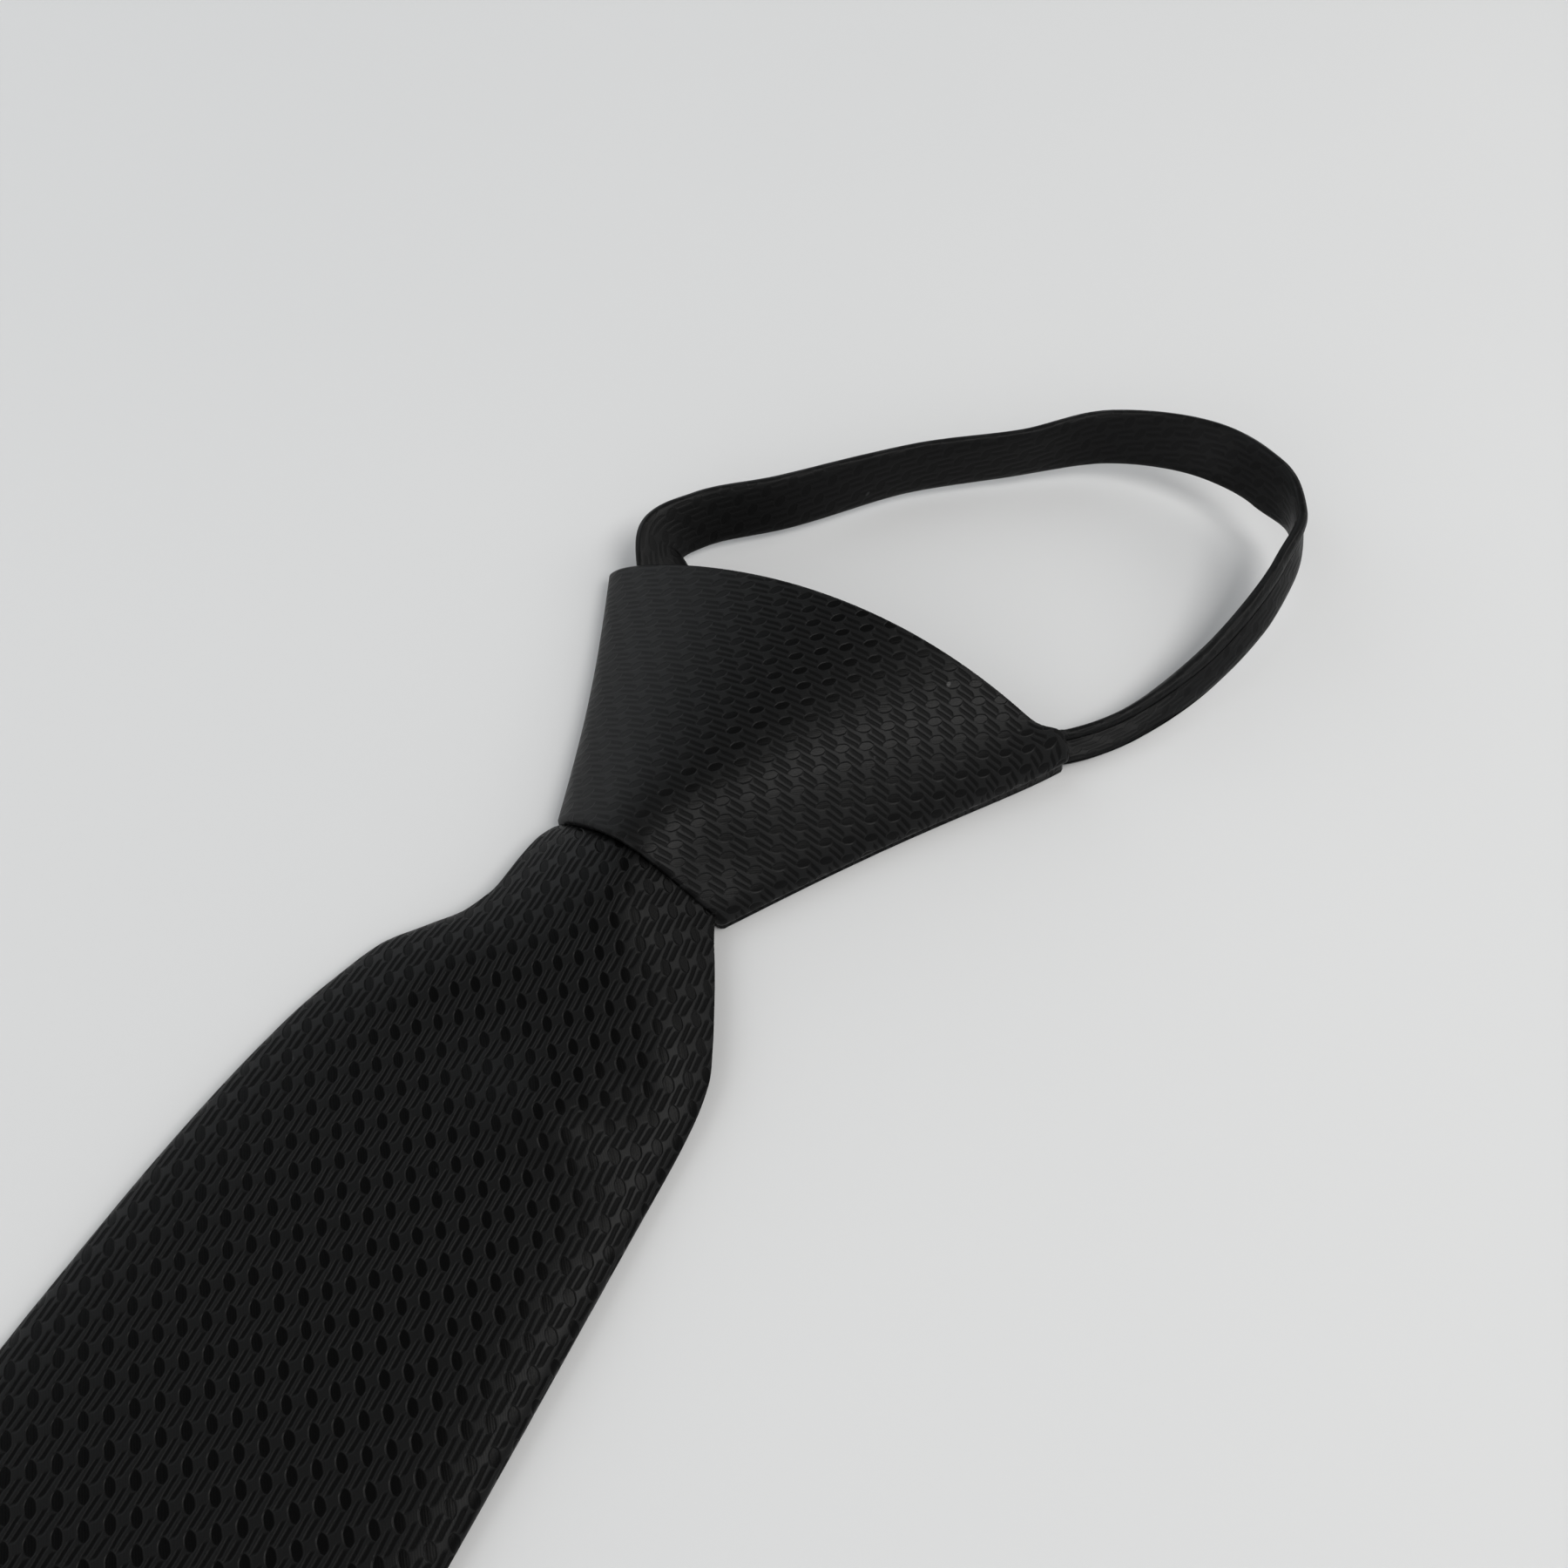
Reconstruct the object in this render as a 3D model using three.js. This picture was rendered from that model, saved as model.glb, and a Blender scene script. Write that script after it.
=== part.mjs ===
// A ready-tied necktie that closes with a zip, lying face up on a table.
// The blade runs along -Y from the knot, the neck loop along +Y, and the face looks up, +Z.
// Lengths are in millimetres.
import * as THREE from 'three';

// Cloth and clearance
const clothWall = 1.5;
const fitGap = 0.3;
const foldInset = 2.3;

// Blade
const bladeLength = 440;
const bladeHalfWidth = 40;
const upperHalfWidth = 38;
const bladeThickness = 5.6;
const spreadRun = 110;
const tipRun = 40;
const tipHalfWidth = 0.9;
const tipThickness = 4.2;
const backSlit = 1.6;
const coilClearance = 1;
const tapeClearance = 0.6;

// Knot: its lower lip lies on the line y = 0
const lipHalfWidth = 18.8;
const lipShift = 3.8;
const lipTilt = 1;
const lipRise = 9.2;
const lipFold = 5;
const knotLeftReach = 37;
const knotLeftRun = 53;
const knotRightReach = 63.2;
const knotRightRun = 62;
const knotTopRise = 14.6;
const knotTopFold = 6.4;
const knotTopBow = 4.5;
const knotBelly = 0.8;
const knotWaist = 1.2;
const lowFold = 0.8;

// Blade's neck, tucked into the knot
const neckTuck = 13;
const neckEase = 1.6;

// Closed zip: from inside the knot down behind the blade
const zipTail = 100;
const zipDrop = 24;
const tapeHalfWidth = 11;
const tapeThickness = 1.2;
const coilHalfWidth = 2;
const coilHeight = 2.4;
const coilCrownShare = 0.7;
const sliderHalfWidth = 4.6;
const sliderHeight = 5;
const sliderLength = 9;

// Neck band
const bandWidth = 12;
const bandThickness = 2.6;
const bandSeam = 0.5;
const loopReach = 81;
const loopSpread = 86;
const loopLift = 14.6;
const mouthLift = 1;

// Heights of what lies in the knot's mouth, one on the other
const zipSeat = clothWall + fitGap;
const neckBase = zipSeat + tapeThickness + fitGap;
const neckCrown = lipFold + lipRise - clothWall - fitGap;
const neckLeft = lipHalfWidth - foldInset - neckEase - lipShift;
const neckRight = lipHalfWidth - foldInset - neckEase + lipShift;

// How the blade spreads below the lip. down: share of spreadRun. left, right: share of the way
// from the neck's side to the upper half width. crown: share from the flat blade up to the
// neck's crown. base: share of the neck's base over the table. flat: 0 is an arched neck, 1
// a flat blade.
const spreadRows = [
  { down: 0.02, left: 0.0, right: 0.0, crown: 1.0, base: 1.0, flat: 0.0 },
  { down: 0.045, left: 0.17, right: 0.2, crown: 1.02, base: 0.92, flat: 0.02 },
  { down: 0.09, left: 0.19, right: 0.36, crown: 0.96, base: 0.75, flat: 0.06 },
  { down: 0.145, left: 0.2, right: 0.54, crown: 0.84, base: 0.55, flat: 0.12 },
  { down: 0.2, left: 0.27, right: 0.71, crown: 0.68, base: 0.36, flat: 0.22 },
  { down: 0.255, left: 0.44, right: 0.85, crown: 0.5, base: 0.2, flat: 0.36 },
  { down: 0.32, left: 0.64, right: 0.91, crown: 0.3, base: 0.08, flat: 0.55 },
  { down: 0.39, left: 0.745, right: 0.93, crown: 0.15, base: 0.0, flat: 0.74 },
  { down: 0.49, left: 0.845, right: 0.94, crown: 0.1, base: 0.0, flat: 0.9 },
  { down: 0.64, left: 0.92, right: 0.96, crown: 0.17, base: 0.0, flat: 1.0 },
  { down: 0.8, left: 0.97, right: 0.98, crown: 0.1, base: 0.0, flat: 1.0 },
  { down: 1.0, left: 1.0, right: 1.0, crown: 0.0, base: 0.0, flat: 1.0 },
];
const evenStations = 8;
const tipStations = 5;

// How a blade section is rounded, in its arched neck and where it lies flat. fold: height of the
// folded edges, share of the way from base up to crown. power and fall: exponents of its arch.
const neckShape = { fold: 0.16, power: 2, fall: 1 };
const flatShape = { fold: 0.38, power: 6, fall: 0.45 };
const foldSettled = 1 / 6;
// Shares of the half width at which the back starts to curl up to the folds, and has points
const curlStart = 0.6;
const curlShares = [0.84, 0.95];
// Most of a thin section's height that a wall takes, and of its half width that a part takes
const wallShare = 0.36;
const insetShare = 0.4;
const slitShare = 0.2;
const coilShare = 0.3;
const tapeShare = 0.7;

// The band's free route from the knot's left mouth to its right one. across: share of
// loopSpread to the right of the axis. along: share of loopReach past the left corner.
// high: share of loopLift over the table, at the strip's middle. lean: degrees from lying flat
// with its outer edge away from the loop (0) over standing (90) to lying the other way (180).
// width: share of bandWidth.
const bandRows = [
  { across: -0.358, along: 0.13, high: 0.49, lean: 46, width: 1.0 },
  { across: -0.31, along: 0.245, high: 0.51, lean: 58, width: 1.0 },
  { across: -0.165, along: 0.4, high: 0.54, lean: 62, width: 1.0 },
  { across: 0.062, along: 0.678, high: 0.575, lean: 76, width: 1.0 },
  { across: 0.271, along: 0.865, high: 0.64, lean: 80, width: 1.0 },
  { across: 0.458, along: 1.036, high: 0.75, lean: 64, width: 1.0 },
  { across: 0.69, along: 1.11, high: 0.89, lean: 58, width: 1.0 },
  { across: 0.859, along: 1.067, high: 1.0, lean: 76, width: 1.0 },
  { across: 0.965, along: 0.98, high: 1.0, lean: 104, width: 0.92 },
  { across: 0.99, along: 0.836, high: 0.82, lean: 122, width: 0.8 },
  { across: 0.925, along: 0.535, high: 0.52, lean: 140, width: 0.68 },
  { across: 0.815, along: 0.245, high: 0.31, lean: 162, width: 0.64 },
];
const bandStations = 72;
const bandSides = 12;
const bandEdgePower = 0.5;
const bandFacePower = 0.6;

// Shares of a blade section's half width at which its face has a point
const faceShares = [0.95, 0.84, 0.6, 0.3, 0, -0.3, -0.6, -0.84, -0.95];
const knotStations = [0, 0.08, 0.2, 0.36, 0.52, 0.68, 0.82, 0.93, 1];
const knotFaceSteps = 14;
const knotFacePower = 0.8;
const knotBackShares = [0.97, 0.82, 0.6, 0.4, 0.18, 0.03];

/** Straight blend from a to b. */
function mix(a, b, share) {
  return a + (b - a) * share;
}

/** Smooth step from 0 to 1 as x goes from low to high. */
function ease(x, low, high) {
  const t = Math.min(1, Math.max(0, (x - low) / (high - low)));
  return t * t * (3 - 2 * t);
}

/** Geometry from corner points and triangles that index them. */
function solid(points, triangles) {
  const geometry = new THREE.BufferGeometry();
  const flat = points.flatMap((p) => [p.x, p.y, p.z]);
  geometry.setAttribute('position', new THREE.Float32BufferAttribute(flat, 3));
  geometry.setIndex(triangles.flat());
  geometry.computeVertexNormals();
  return geometry;
}

/** Two triangles over the four corners a, b, c, d, seen counter-clockwise from outside. */
function quad(a, b, c, d) {
  return [[a, b, c], [a, c, d]];
}

/**
 * A cloth wall between an outer and an inner sheet of rows with equal counts. A closed section
 * joins its last column to its first, an open one ends in two strips across the cloth.
 */
function clothShell(outer, inner, closed) {
  const rows = outer.length;
  const columns = outer[0].length;
  const points = [...outer.flat(), ...inner.flat()];
  const out = (row, column) => row * columns + (column % columns);
  const inn = (row, column) => rows * columns + out(row, column);
  const triangles = [];
  const spans = closed ? columns : columns - 1;
  for (let c = 0; c < spans; c += 1) {
    for (let r = 0; r < rows - 1; r += 1) {
      triangles.push(...quad(out(r, c), out(r, c + 1), out(r + 1, c + 1), out(r + 1, c)));
      triangles.push(...quad(inn(r, c), inn(r + 1, c), inn(r + 1, c + 1), inn(r, c + 1)));
    }
    triangles.push(...quad(out(0, c), inn(0, c), inn(0, c + 1), out(0, c + 1)));
    const last = rows - 1;
    triangles.push(...quad(out(last, c), out(last, c + 1), inn(last, c + 1), inn(last, c)));
  }
  if (!closed) {
    for (let r = 0; r < rows - 1; r += 1) {
      const side = columns - 1;
      triangles.push(...quad(out(r, 0), out(r + 1, 0), inn(r + 1, 0), inn(r, 0)));
      triangles.push(...quad(out(r, side), inn(r, side), inn(r + 1, side), out(r + 1, side)));
    }
  }
  return solid(points, triangles);
}

/** A solid strip through rings of equal counts, closed at both ends by a fan. */
function strip(rings) {
  const sides = rings[0].length;
  const points = rings.flat();
  const triangles = [];
  for (let r = 0; r < rings.length - 1; r += 1) {
    for (let c = 0; c < sides; c += 1) {
      const next = (c + 1) % sides;
      const low = r * sides;
      const high = low + sides;
      triangles.push(...quad(low + c, low + next, high + next, high + c));
    }
  }
  const ends = [rings[0], rings[rings.length - 1]];
  ends.forEach((ring, end) => {
    const middle = points.length;
    const centre = ring.reduce((sum, p) => sum.add(p), new THREE.Vector3()).divideScalar(sides);
    points.push(centre);
    const first = end * (rings.length - 1) * sides;
    for (let c = 0; c < sides; c += 1) {
      const next = first + ((c + 1) % sides);
      triangles.push(end ? [middle, first + c, next] : [middle, next, first + c]);
    }
  });
  return solid(points, triangles);
}

/** The line down the middle of the blade's back, over the zip. */
function seamAt(down) {
  return lipShift * (1 - ease(down, 0, spreadRun));
}

/** Height of the zip's underside over the table. */
function zipSeatAt(down) {
  return zipSeat * (1 - ease(down, 0, zipDrop));
}

/** The blade's sizes at a distance below the lip. */
function bladeAt(down) {
  const first = spreadRows[0];
  const last = spreadRows[spreadRows.length - 1];
  const share = Math.min(last.down, Math.max(first.down, down / spreadRun));
  let i = 0;
  while (i < spreadRows.length - 2 && share > spreadRows[i + 1].down) {
    i += 1;
  }
  const [a, b] = [spreadRows[i], spreadRows[i + 1]];
  const t = (share - a.down) / (b.down - a.down);
  const at = (column) => mix(a[column], b[column], t);
  const shoulder = bladeLength - tipRun;
  const growth = Math.max(0, down - spreadRun) / (shoulder - spreadRun);
  const side = mix(upperHalfWidth, bladeHalfWidth, Math.min(1, growth));
  const point = Math.max(0, down - shoulder) / tipRun;
  return {
    left: mix(mix(neckLeft, side, at('left')), tipHalfWidth, point),
    right: mix(mix(neckRight, side, at('right')), tipHalfWidth, point),
    crown: mix(mix(bladeThickness, neckCrown, at('crown')), tipThickness, point),
    base: neckBase * at('base'),
    flat: at('flat'),
  };
}

/** Outlines of a blade section's face and folds, as heights over the share u of its half width. */
function bladeProfile(size) {
  const settled = Math.min(1, size.flat / foldSettled);
  const nose = mix(size.base, size.crown, mix(neckShape.fold, flatShape.fold, settled));
  const power = mix(neckShape.power, flatShape.power, size.flat);
  const fall = mix(neckShape.fall, flatShape.fall, size.flat);
  const curl = (u) => Math.max(0, (Math.abs(u) - curlStart) / (1 - curlStart));
  return {
    nose,
    top: (u) => nose + (size.crown - nose) * (1 - Math.abs(u) ** power) ** fall,
    under: (u) => nose - (nose - size.base) * (1 - curl(u) ** 3) ** 0.5,
  };
}

/** Points across one half of the back, from the slit over the zip out to the fold. */
function backPoints(down, size, seam, half, sign, under) {
  const over = (height) => {
    const zipSpan = 1 - ease(down, zipTail, zipTail + zipDrop);
    return Math.max(size.base, (zipSeatAt(down) + height + fitGap) * zipSpan);
  };
  const tapeEdge = Math.min(tapeHalfWidth + tapeClearance, half * tapeShare);
  const shares = [mix(tapeEdge / half, curlShares[0], 0.35), ...curlShares];
  return [
    { x: seam + sign * Math.min(backSlit / 2, half * slitShare), z: over(coilHeight) },
    { x: seam + sign * Math.min(coilHalfWidth + coilClearance, half * coilShare), z: over(coilHeight) },
    { x: seam + sign * tapeEdge, z: over(tapeThickness) },
    ...shares.map((u) => ({ x: mix(seam + sign * half * u, sign * half * u, u), z: under(u) })),
  ];
}

/** One section of the blade: the outer line and the inner line of its cloth. */
function bladeSection(down) {
  const size = bladeAt(down);
  const middle = (size.right - size.left) / 2;
  const half = (size.right + size.left) / 2;
  const seam = Math.min(Math.max(seamAt(down) - middle, -half / 2), half / 2);
  const { nose, top, under } = bladeProfile(size);
  const back = (sign) => backPoints(down, size, seam, half, sign, under);
  const wall = Math.min(clothWall, (size.crown - size.base) * wallShare);
  const inset = Math.min(foldInset, half * insetShare);
  const place = (x, z) => new THREE.Vector3(middle + x, -down, z);
  const line = (width, drawn, lift, fold) => [
    ...back(1).map((p) => place(drawn(p.x), p.z + lift)),
    place(width, fold),
    ...faceShares.map((u) => place(u * width, top(u) - lift)),
    place(-width, fold),
    ...back(-1).reverse().map((p) => place(drawn(p.x), p.z + lift)),
  ];
  const narrowed = (x) => (Math.abs(x) > half / 2 ? (x * (half - inset)) / half : x);
  return {
    outer: line(half, (x) => x, 0, nose),
    inner: line(half - inset, narrowed, wall, nose + wall * slitShare),
  };
}

/** Distances below the lip at which the blade has a section; the tucked neck comes first. */
function bladeStations() {
  const stations = [-neckTuck, -neckTuck / 2, 0];
  spreadRows.forEach((row) => stations.push(row.down * spreadRun));
  const shoulder = bladeLength - tipRun;
  for (let i = 1; i <= evenStations; i += 1) {
    stations.push(mix(spreadRun, shoulder, i / evenStations));
  }
  for (let i = 1; i <= tipStations; i += 1) {
    stations.push(mix(shoulder, bladeLength, i / tipStations));
  }
  stations.push(zipTail + fitGap, zipTail + zipDrop);
  return stations.sort((a, b) => a - b);
}

/** The blade: one cloth folded round to meet along the middle of its back. */
function bladeGeometry() {
  const sections = bladeStations().map(bladeSection);
  return clothShell(sections.map((s) => s.outer), sections.map((s) => s.inner), false);
}

/** A point of the knot in plan: across 0 to 1 from left to right, up 0 to 1 from lip to top. */
function knotPlan(across, up) {
  const left = new THREE.Vector2(
    mix(lipShift - lipHalfWidth, -knotLeftReach, up),
    mix(lipTilt, knotLeftRun, up),
  );
  const right = new THREE.Vector2(
    mix(lipShift + lipHalfWidth, knotRightReach, up),
    mix(-lipTilt, knotRightRun, up),
  );
  const waist = knotWaist * Math.sin(Math.PI * up);
  left.x += waist;
  right.x -= waist;
  const point = left.lerp(right, across);
  point.y += knotTopBow * up * up * Math.sin(Math.PI * across);
  return point;
}

/** Height of the knot's face at a share across and a share up. */
function knotFace(across, up) {
  const fold = mix(lipFold, knotTopFold, up);
  const rise = mix(lipRise, knotTopRise, up) + knotBelly * Math.sin(Math.PI * up);
  return fold + rise * Math.sin(Math.PI * across) ** knotFacePower;
}

/** One section of the knot, with its cloth drawn in by wall and its folds by inset. */
function knotSection(up, wall, inset) {
  const width = knotPlan(0, up).distanceTo(knotPlan(1, up));
  const edge = inset / width;
  const place = (across, z) => {
    const p = knotPlan(mix(edge, 1 - edge, across), up);
    return new THREE.Vector3(p.x, p.y, z);
  };
  const low = Math.max(lowFold, wall);
  const points = [place(0, low)];
  for (let i = 0; i <= knotFaceSteps; i += 1) {
    const across = (1 - Math.cos((Math.PI * i) / knotFaceSteps)) / 2;
    points.push(place(across, knotFace(across, up) - wall));
  }
  points.push(place(1, low));
  knotBackShares.forEach((across) => points.push(place(across, wall)));
  return points;
}

/** The knot: a flaring sleeve of cloth, open below for the blade and above for the band. */
function knotGeometry() {
  const outer = knotStations.map((up) => knotSection(up, 0, 0));
  const inner = knotStations.map((up) => knotSection(up, clothWall, foldInset));
  return clothShell(outer, inner, true);
}

/** The closed zip with its slider, one plain piece; its free tail lies behind the blade. */
function zipGeometry() {
  const sliderFoot = neckTuck + fitGap * 2;
  const ring = (y, ridge, height) => {
    const outline = [
      [-tapeHalfWidth, 0],
      [tapeHalfWidth, 0],
      [tapeHalfWidth, tapeThickness],
      [ridge, tapeThickness],
      [ridge * coilCrownShare, height],
      [-ridge * coilCrownShare, height],
      [-ridge, tapeThickness],
      [-tapeHalfWidth, tapeThickness],
    ];
    return outline.map(([across, up]) => (
      new THREE.Vector3(seamAt(-y) + across, y, zipSeatAt(-y) + up)
    ));
  };
  const tailStep = (zipTail - zipDrop) / 3;
  const coilStations = [
    sliderFoot - fitGap,
    0,
    -zipDrop / 4,
    -zipDrop / 2,
    -zipDrop,
    -zipDrop - tailStep,
    -zipDrop - tailStep * 2,
    -zipTail,
  ];
  return strip([
    ring(sliderFoot + sliderLength, sliderHalfWidth, sliderHeight),
    ring(sliderFoot, sliderHalfWidth, sliderHeight),
    ...coilStations.map((y) => ring(y, coilHalfWidth, coilHeight)),
  ]);
}

/** The band's knots of route: both ends lie flat in the knot, side by side over the zip. */
function bandRoute() {
  const rest = zipSeat + bandThickness / 2;
  const meetY = neckTuck + sliderLength + fitGap * 3;
  const meetX = bandWidth / 2 + fitGap;
  const inside = (across, up, width, lean) => {
    const p = knotPlan(across, up);
    return { x: p.x, y: p.y, z: rest, lean, width };
  };
  const meet = (sign, ahead, lean) => {
    return { x: seamAt(0) + sign * meetX, y: meetY + ahead, z: rest, lean, width: 1 };
  };
  const free = bandRows.map((row) => ({
    x: row.across * loopSpread,
    y: knotLeftRun + row.along * loopReach,
    z: row.high * loopLift,
    lean: row.lean,
    width: row.width,
  }));
  return [
    meet(-1, 0, 0),
    meet(-1, bandWidth * 0.8, 0),
    inside(0.2, 0.78, 1, 0),
    { ...inside(0.13, 1, 1, 10), z: rest + mouthLift },
    ...free,
    inside(0.91, 1, 0.62, 180),
    inside(0.89, 0.8, 0.66, 180),
    meet(1, bandWidth * 0.8, 180),
    meet(1, 0, 180),
  ];
}

/** The strip's section: a rounded flat bar with the shallow line of its seam on the inner face. */
function bandOutline() {
  const outline = [];
  for (let i = 0; i < bandSides; i += 1) {
    const angle = (2 * Math.PI * i) / bandSides;
    const across = Math.sign(Math.cos(angle)) * Math.abs(Math.cos(angle)) ** bandEdgePower;
    const through = Math.sign(Math.sin(angle)) * Math.abs(Math.sin(angle)) ** bandFacePower;
    outline.push({ across: across / 2, through: through / 2 });
  }
  outline[bandSides * 0.75].through += bandSeam / bandThickness;
  return outline;
}

/** The neck band: a folded strip, a whole loop from the knot and back into it. */
function bandGeometry() {
  const route = bandRoute();
  const curve = new THREE.CatmullRomCurve3(
    route.map((p) => new THREE.Vector3(p.x, p.y, p.z)),
    false,
    'centripetal',
  );
  const outline = bandOutline();
  const rings = [];
  for (let i = 0; i <= bandStations; i += 1) {
    const t = i / bandStations;
    const step = Math.min(route.length - 2, Math.floor(t * (route.length - 1)));
    const share = ease(t * (route.length - 1) - step, 0, 1);
    const lean = THREE.MathUtils.degToRad(mix(route[step].lean, route[step + 1].lean, share));
    const width = bandWidth * mix(route[step].width, route[step + 1].width, share);
    const centre = curve.getPoint(t);
    const ahead = curve.getTangent(t);
    const outward = new THREE.Vector3(-ahead.y, ahead.x, 0).normalize();
    const upward = new THREE.Vector3().crossVectors(ahead, outward).multiplyScalar(-1);
    upward.multiplyScalar(Math.sign(upward.z));
    const broad = outward.clone().multiplyScalar(Math.cos(lean));
    broad.addScaledVector(upward, Math.sin(lean));
    const face = new THREE.Vector3().crossVectors(ahead, broad);
    rings.push(outline.map(({ across, through }) => centre.clone()
      .addScaledVector(broad, across * width)
      .addScaledVector(face, through * bandThickness)));
  }
  return strip(rings);
}

/** A named piece with its own finish. */
function piece(name, geometry, color, roughness, metalness) {
  const material = new THREE.MeshStandardMaterial({ color, roughness, metalness });
  const mesh = new THREE.Mesh(geometry, material);
  mesh.name = name;
  return mesh;
}

const tie = new THREE.Group();
tie.add(piece('blade', bladeGeometry(), 0x17171a, 0.55, 0));
tie.add(piece('knot_wrap', knotGeometry(), 0x18181b, 0.55, 0));
tie.add(piece('neck_band', bandGeometry(), 0x131315, 0.65, 0));
tie.add(piece('zip', zipGeometry(), 0x1b1b1e, 0.6, 0));

// The origin is the middle of the tie's footprint, on the table
const box = new THREE.Box3().setFromObject(tie);
const centre = box.getCenter(new THREE.Vector3());
tie.position.set(-centre.x, -centre.y, -box.min.z);

const group = new THREE.Group();
group.add(tie);

export default group;
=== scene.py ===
"""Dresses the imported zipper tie: jacquard cloth pieces, zip, table, light and camera.

Shapes are worked out in millimetres in the tie's own frame, where the knot's lower lip lies on
y = 0, the blade runs along -y and the table is z = 0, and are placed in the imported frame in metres.
"""
import logging
import math
from dataclasses import dataclass
from enum import Enum
from typing import Callable, Sequence, Union

import bpy
import numpy as np
from mathutils import Matrix, Vector


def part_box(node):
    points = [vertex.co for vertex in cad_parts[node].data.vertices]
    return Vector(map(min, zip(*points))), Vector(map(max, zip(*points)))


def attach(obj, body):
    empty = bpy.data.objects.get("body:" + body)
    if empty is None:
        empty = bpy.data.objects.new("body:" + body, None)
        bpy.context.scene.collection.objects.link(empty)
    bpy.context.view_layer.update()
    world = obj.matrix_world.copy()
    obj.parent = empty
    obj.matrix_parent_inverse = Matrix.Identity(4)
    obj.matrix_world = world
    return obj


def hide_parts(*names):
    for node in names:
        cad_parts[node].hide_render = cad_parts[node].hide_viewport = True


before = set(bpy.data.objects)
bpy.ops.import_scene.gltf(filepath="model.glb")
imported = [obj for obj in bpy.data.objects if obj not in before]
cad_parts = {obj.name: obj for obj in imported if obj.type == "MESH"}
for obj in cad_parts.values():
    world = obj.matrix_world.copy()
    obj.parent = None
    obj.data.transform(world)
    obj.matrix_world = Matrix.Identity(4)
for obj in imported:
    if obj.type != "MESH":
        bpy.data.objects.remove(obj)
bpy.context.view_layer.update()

log = logging.getLogger("zipper_tie")
Number = Union[float, "Value"]
MM = 0.001
NOISE_ROUGHNESS = 0.6
# Place of the band's ridge beyond its edge, where it has none
NO_RIDGE = 3.0

Reading = Union[float, np.ndarray]


# Numbers and the tie's own frame


def mix(a: Reading, b: Reading, share: Reading) -> Reading:
    """Straight blend from a to b."""
    return a + (b - a) * share


def ease(x: float, low: float, high: float) -> float:
    """Smooth step.

    Args:
        x: where to read it.
        low: where it leaves 0.
        high: where it reaches 1.

    Returns:
        0 to 1.
    """
    t = min(1.0, max(0.0, (x - low) / (high - low)))
    return t * t * (3 - 2 * t)


def smooth_table(x: np.ndarray, xs: Sequence[float], ys: Sequence[float]) -> np.ndarray:
    """Reads a table of numbers along a monotone cubic.

    Args:
        x: where to read it.
        xs: the table's rising positions.
        ys: the table's values.

    Returns:
        The values at x, held at the table's ends.
    """
    xs = np.asarray(xs, float)
    ys = np.asarray(ys, float)
    run = np.diff(xs)
    rise = np.diff(ys) / run
    slope = np.empty_like(ys)
    slope[0] = rise[0]
    slope[-1] = rise[-1]
    same = rise[:-1] * rise[1:] > 0
    total = np.where(same, rise[:-1] + rise[1:], 1.0)
    slope[1:-1] = np.where(same, 2 * rise[:-1] * rise[1:] / total, 0.0)
    i = np.clip(np.searchsorted(xs, x) - 1, 0, len(run) - 1)
    t = np.clip((x - xs[i]) / run[i], 0.0, 1.0)
    start = (1 + 2 * t) * (1 - t) ** 2 * ys[i] + t * (1 - t) ** 2 * run[i] * slope[i]
    end = t * t * (3 - 2 * t) * ys[i + 1] + t * t * (t - 1) * run[i] * slope[i + 1]
    return start + end


def run_along(points: np.ndarray) -> np.ndarray:
    """Distance gone at each point of a line.

    Args:
        points: the line's points, count x dimensions.

    Returns:
        The distances, 0 at the first point.
    """
    steps = np.linalg.norm(np.diff(points, axis=0), axis=-1)
    return np.concatenate([[0.0], np.cumsum(steps)])


@dataclass(frozen=True)
class TieFrame:
    """Where the tie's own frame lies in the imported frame, in millimetres."""

    shift_x: float
    shift_y: float

    @classmethod
    def of_blade(cls, length: float) -> "TieFrame":
        """Finds the shift from the blade's box.

        Args:
            length: the blade's length below the knot's lip.

        Returns:
            The frame in which the blade's point lies at y = -length.
        """
        low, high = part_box("blade")
        return cls(500 * (low.x + high.x), 1000 * low.y + length)

    def place(self, points: np.ndarray) -> np.ndarray:
        """Points of the tie's frame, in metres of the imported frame."""
        return (points + np.array([self.shift_x, self.shift_y, 0.0])) * MM


# Meshes


def make_mesh(
    name: str,
    points: np.ndarray,
    faces: Sequence[Sequence[int]],
    weave: Union[np.ndarray, None] = None,
    crease: float = 55.0,
) -> bpy.types.Object:
    """Makes a smooth mesh object.

    Args:
        name: the piece's name.
        points: its points in metres.
        faces: the points of each face.
        weave: place of each point in the weave, and how much of the weave shows there.
        crease: edges sharper than this many degrees stay sharp.

    Returns:
        The linked object.
    """
    mesh = bpy.data.meshes.new(name)
    mesh.from_pydata(points.tolist(), [], [list(map(int, face)) for face in faces])
    if weave is not None:
        layer = mesh.attributes.new("weave", "FLOAT_VECTOR", "POINT")
        layer.data.foreach_set("vector", np.asarray(weave, np.float32).ravel())
    mesh.shade_smooth()
    mesh.set_sharp_from_angle(angle=math.radians(crease))
    mesh.validate()
    made = bpy.data.objects.new(name, mesh)
    bpy.context.scene.collection.objects.link(made)
    return made


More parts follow.
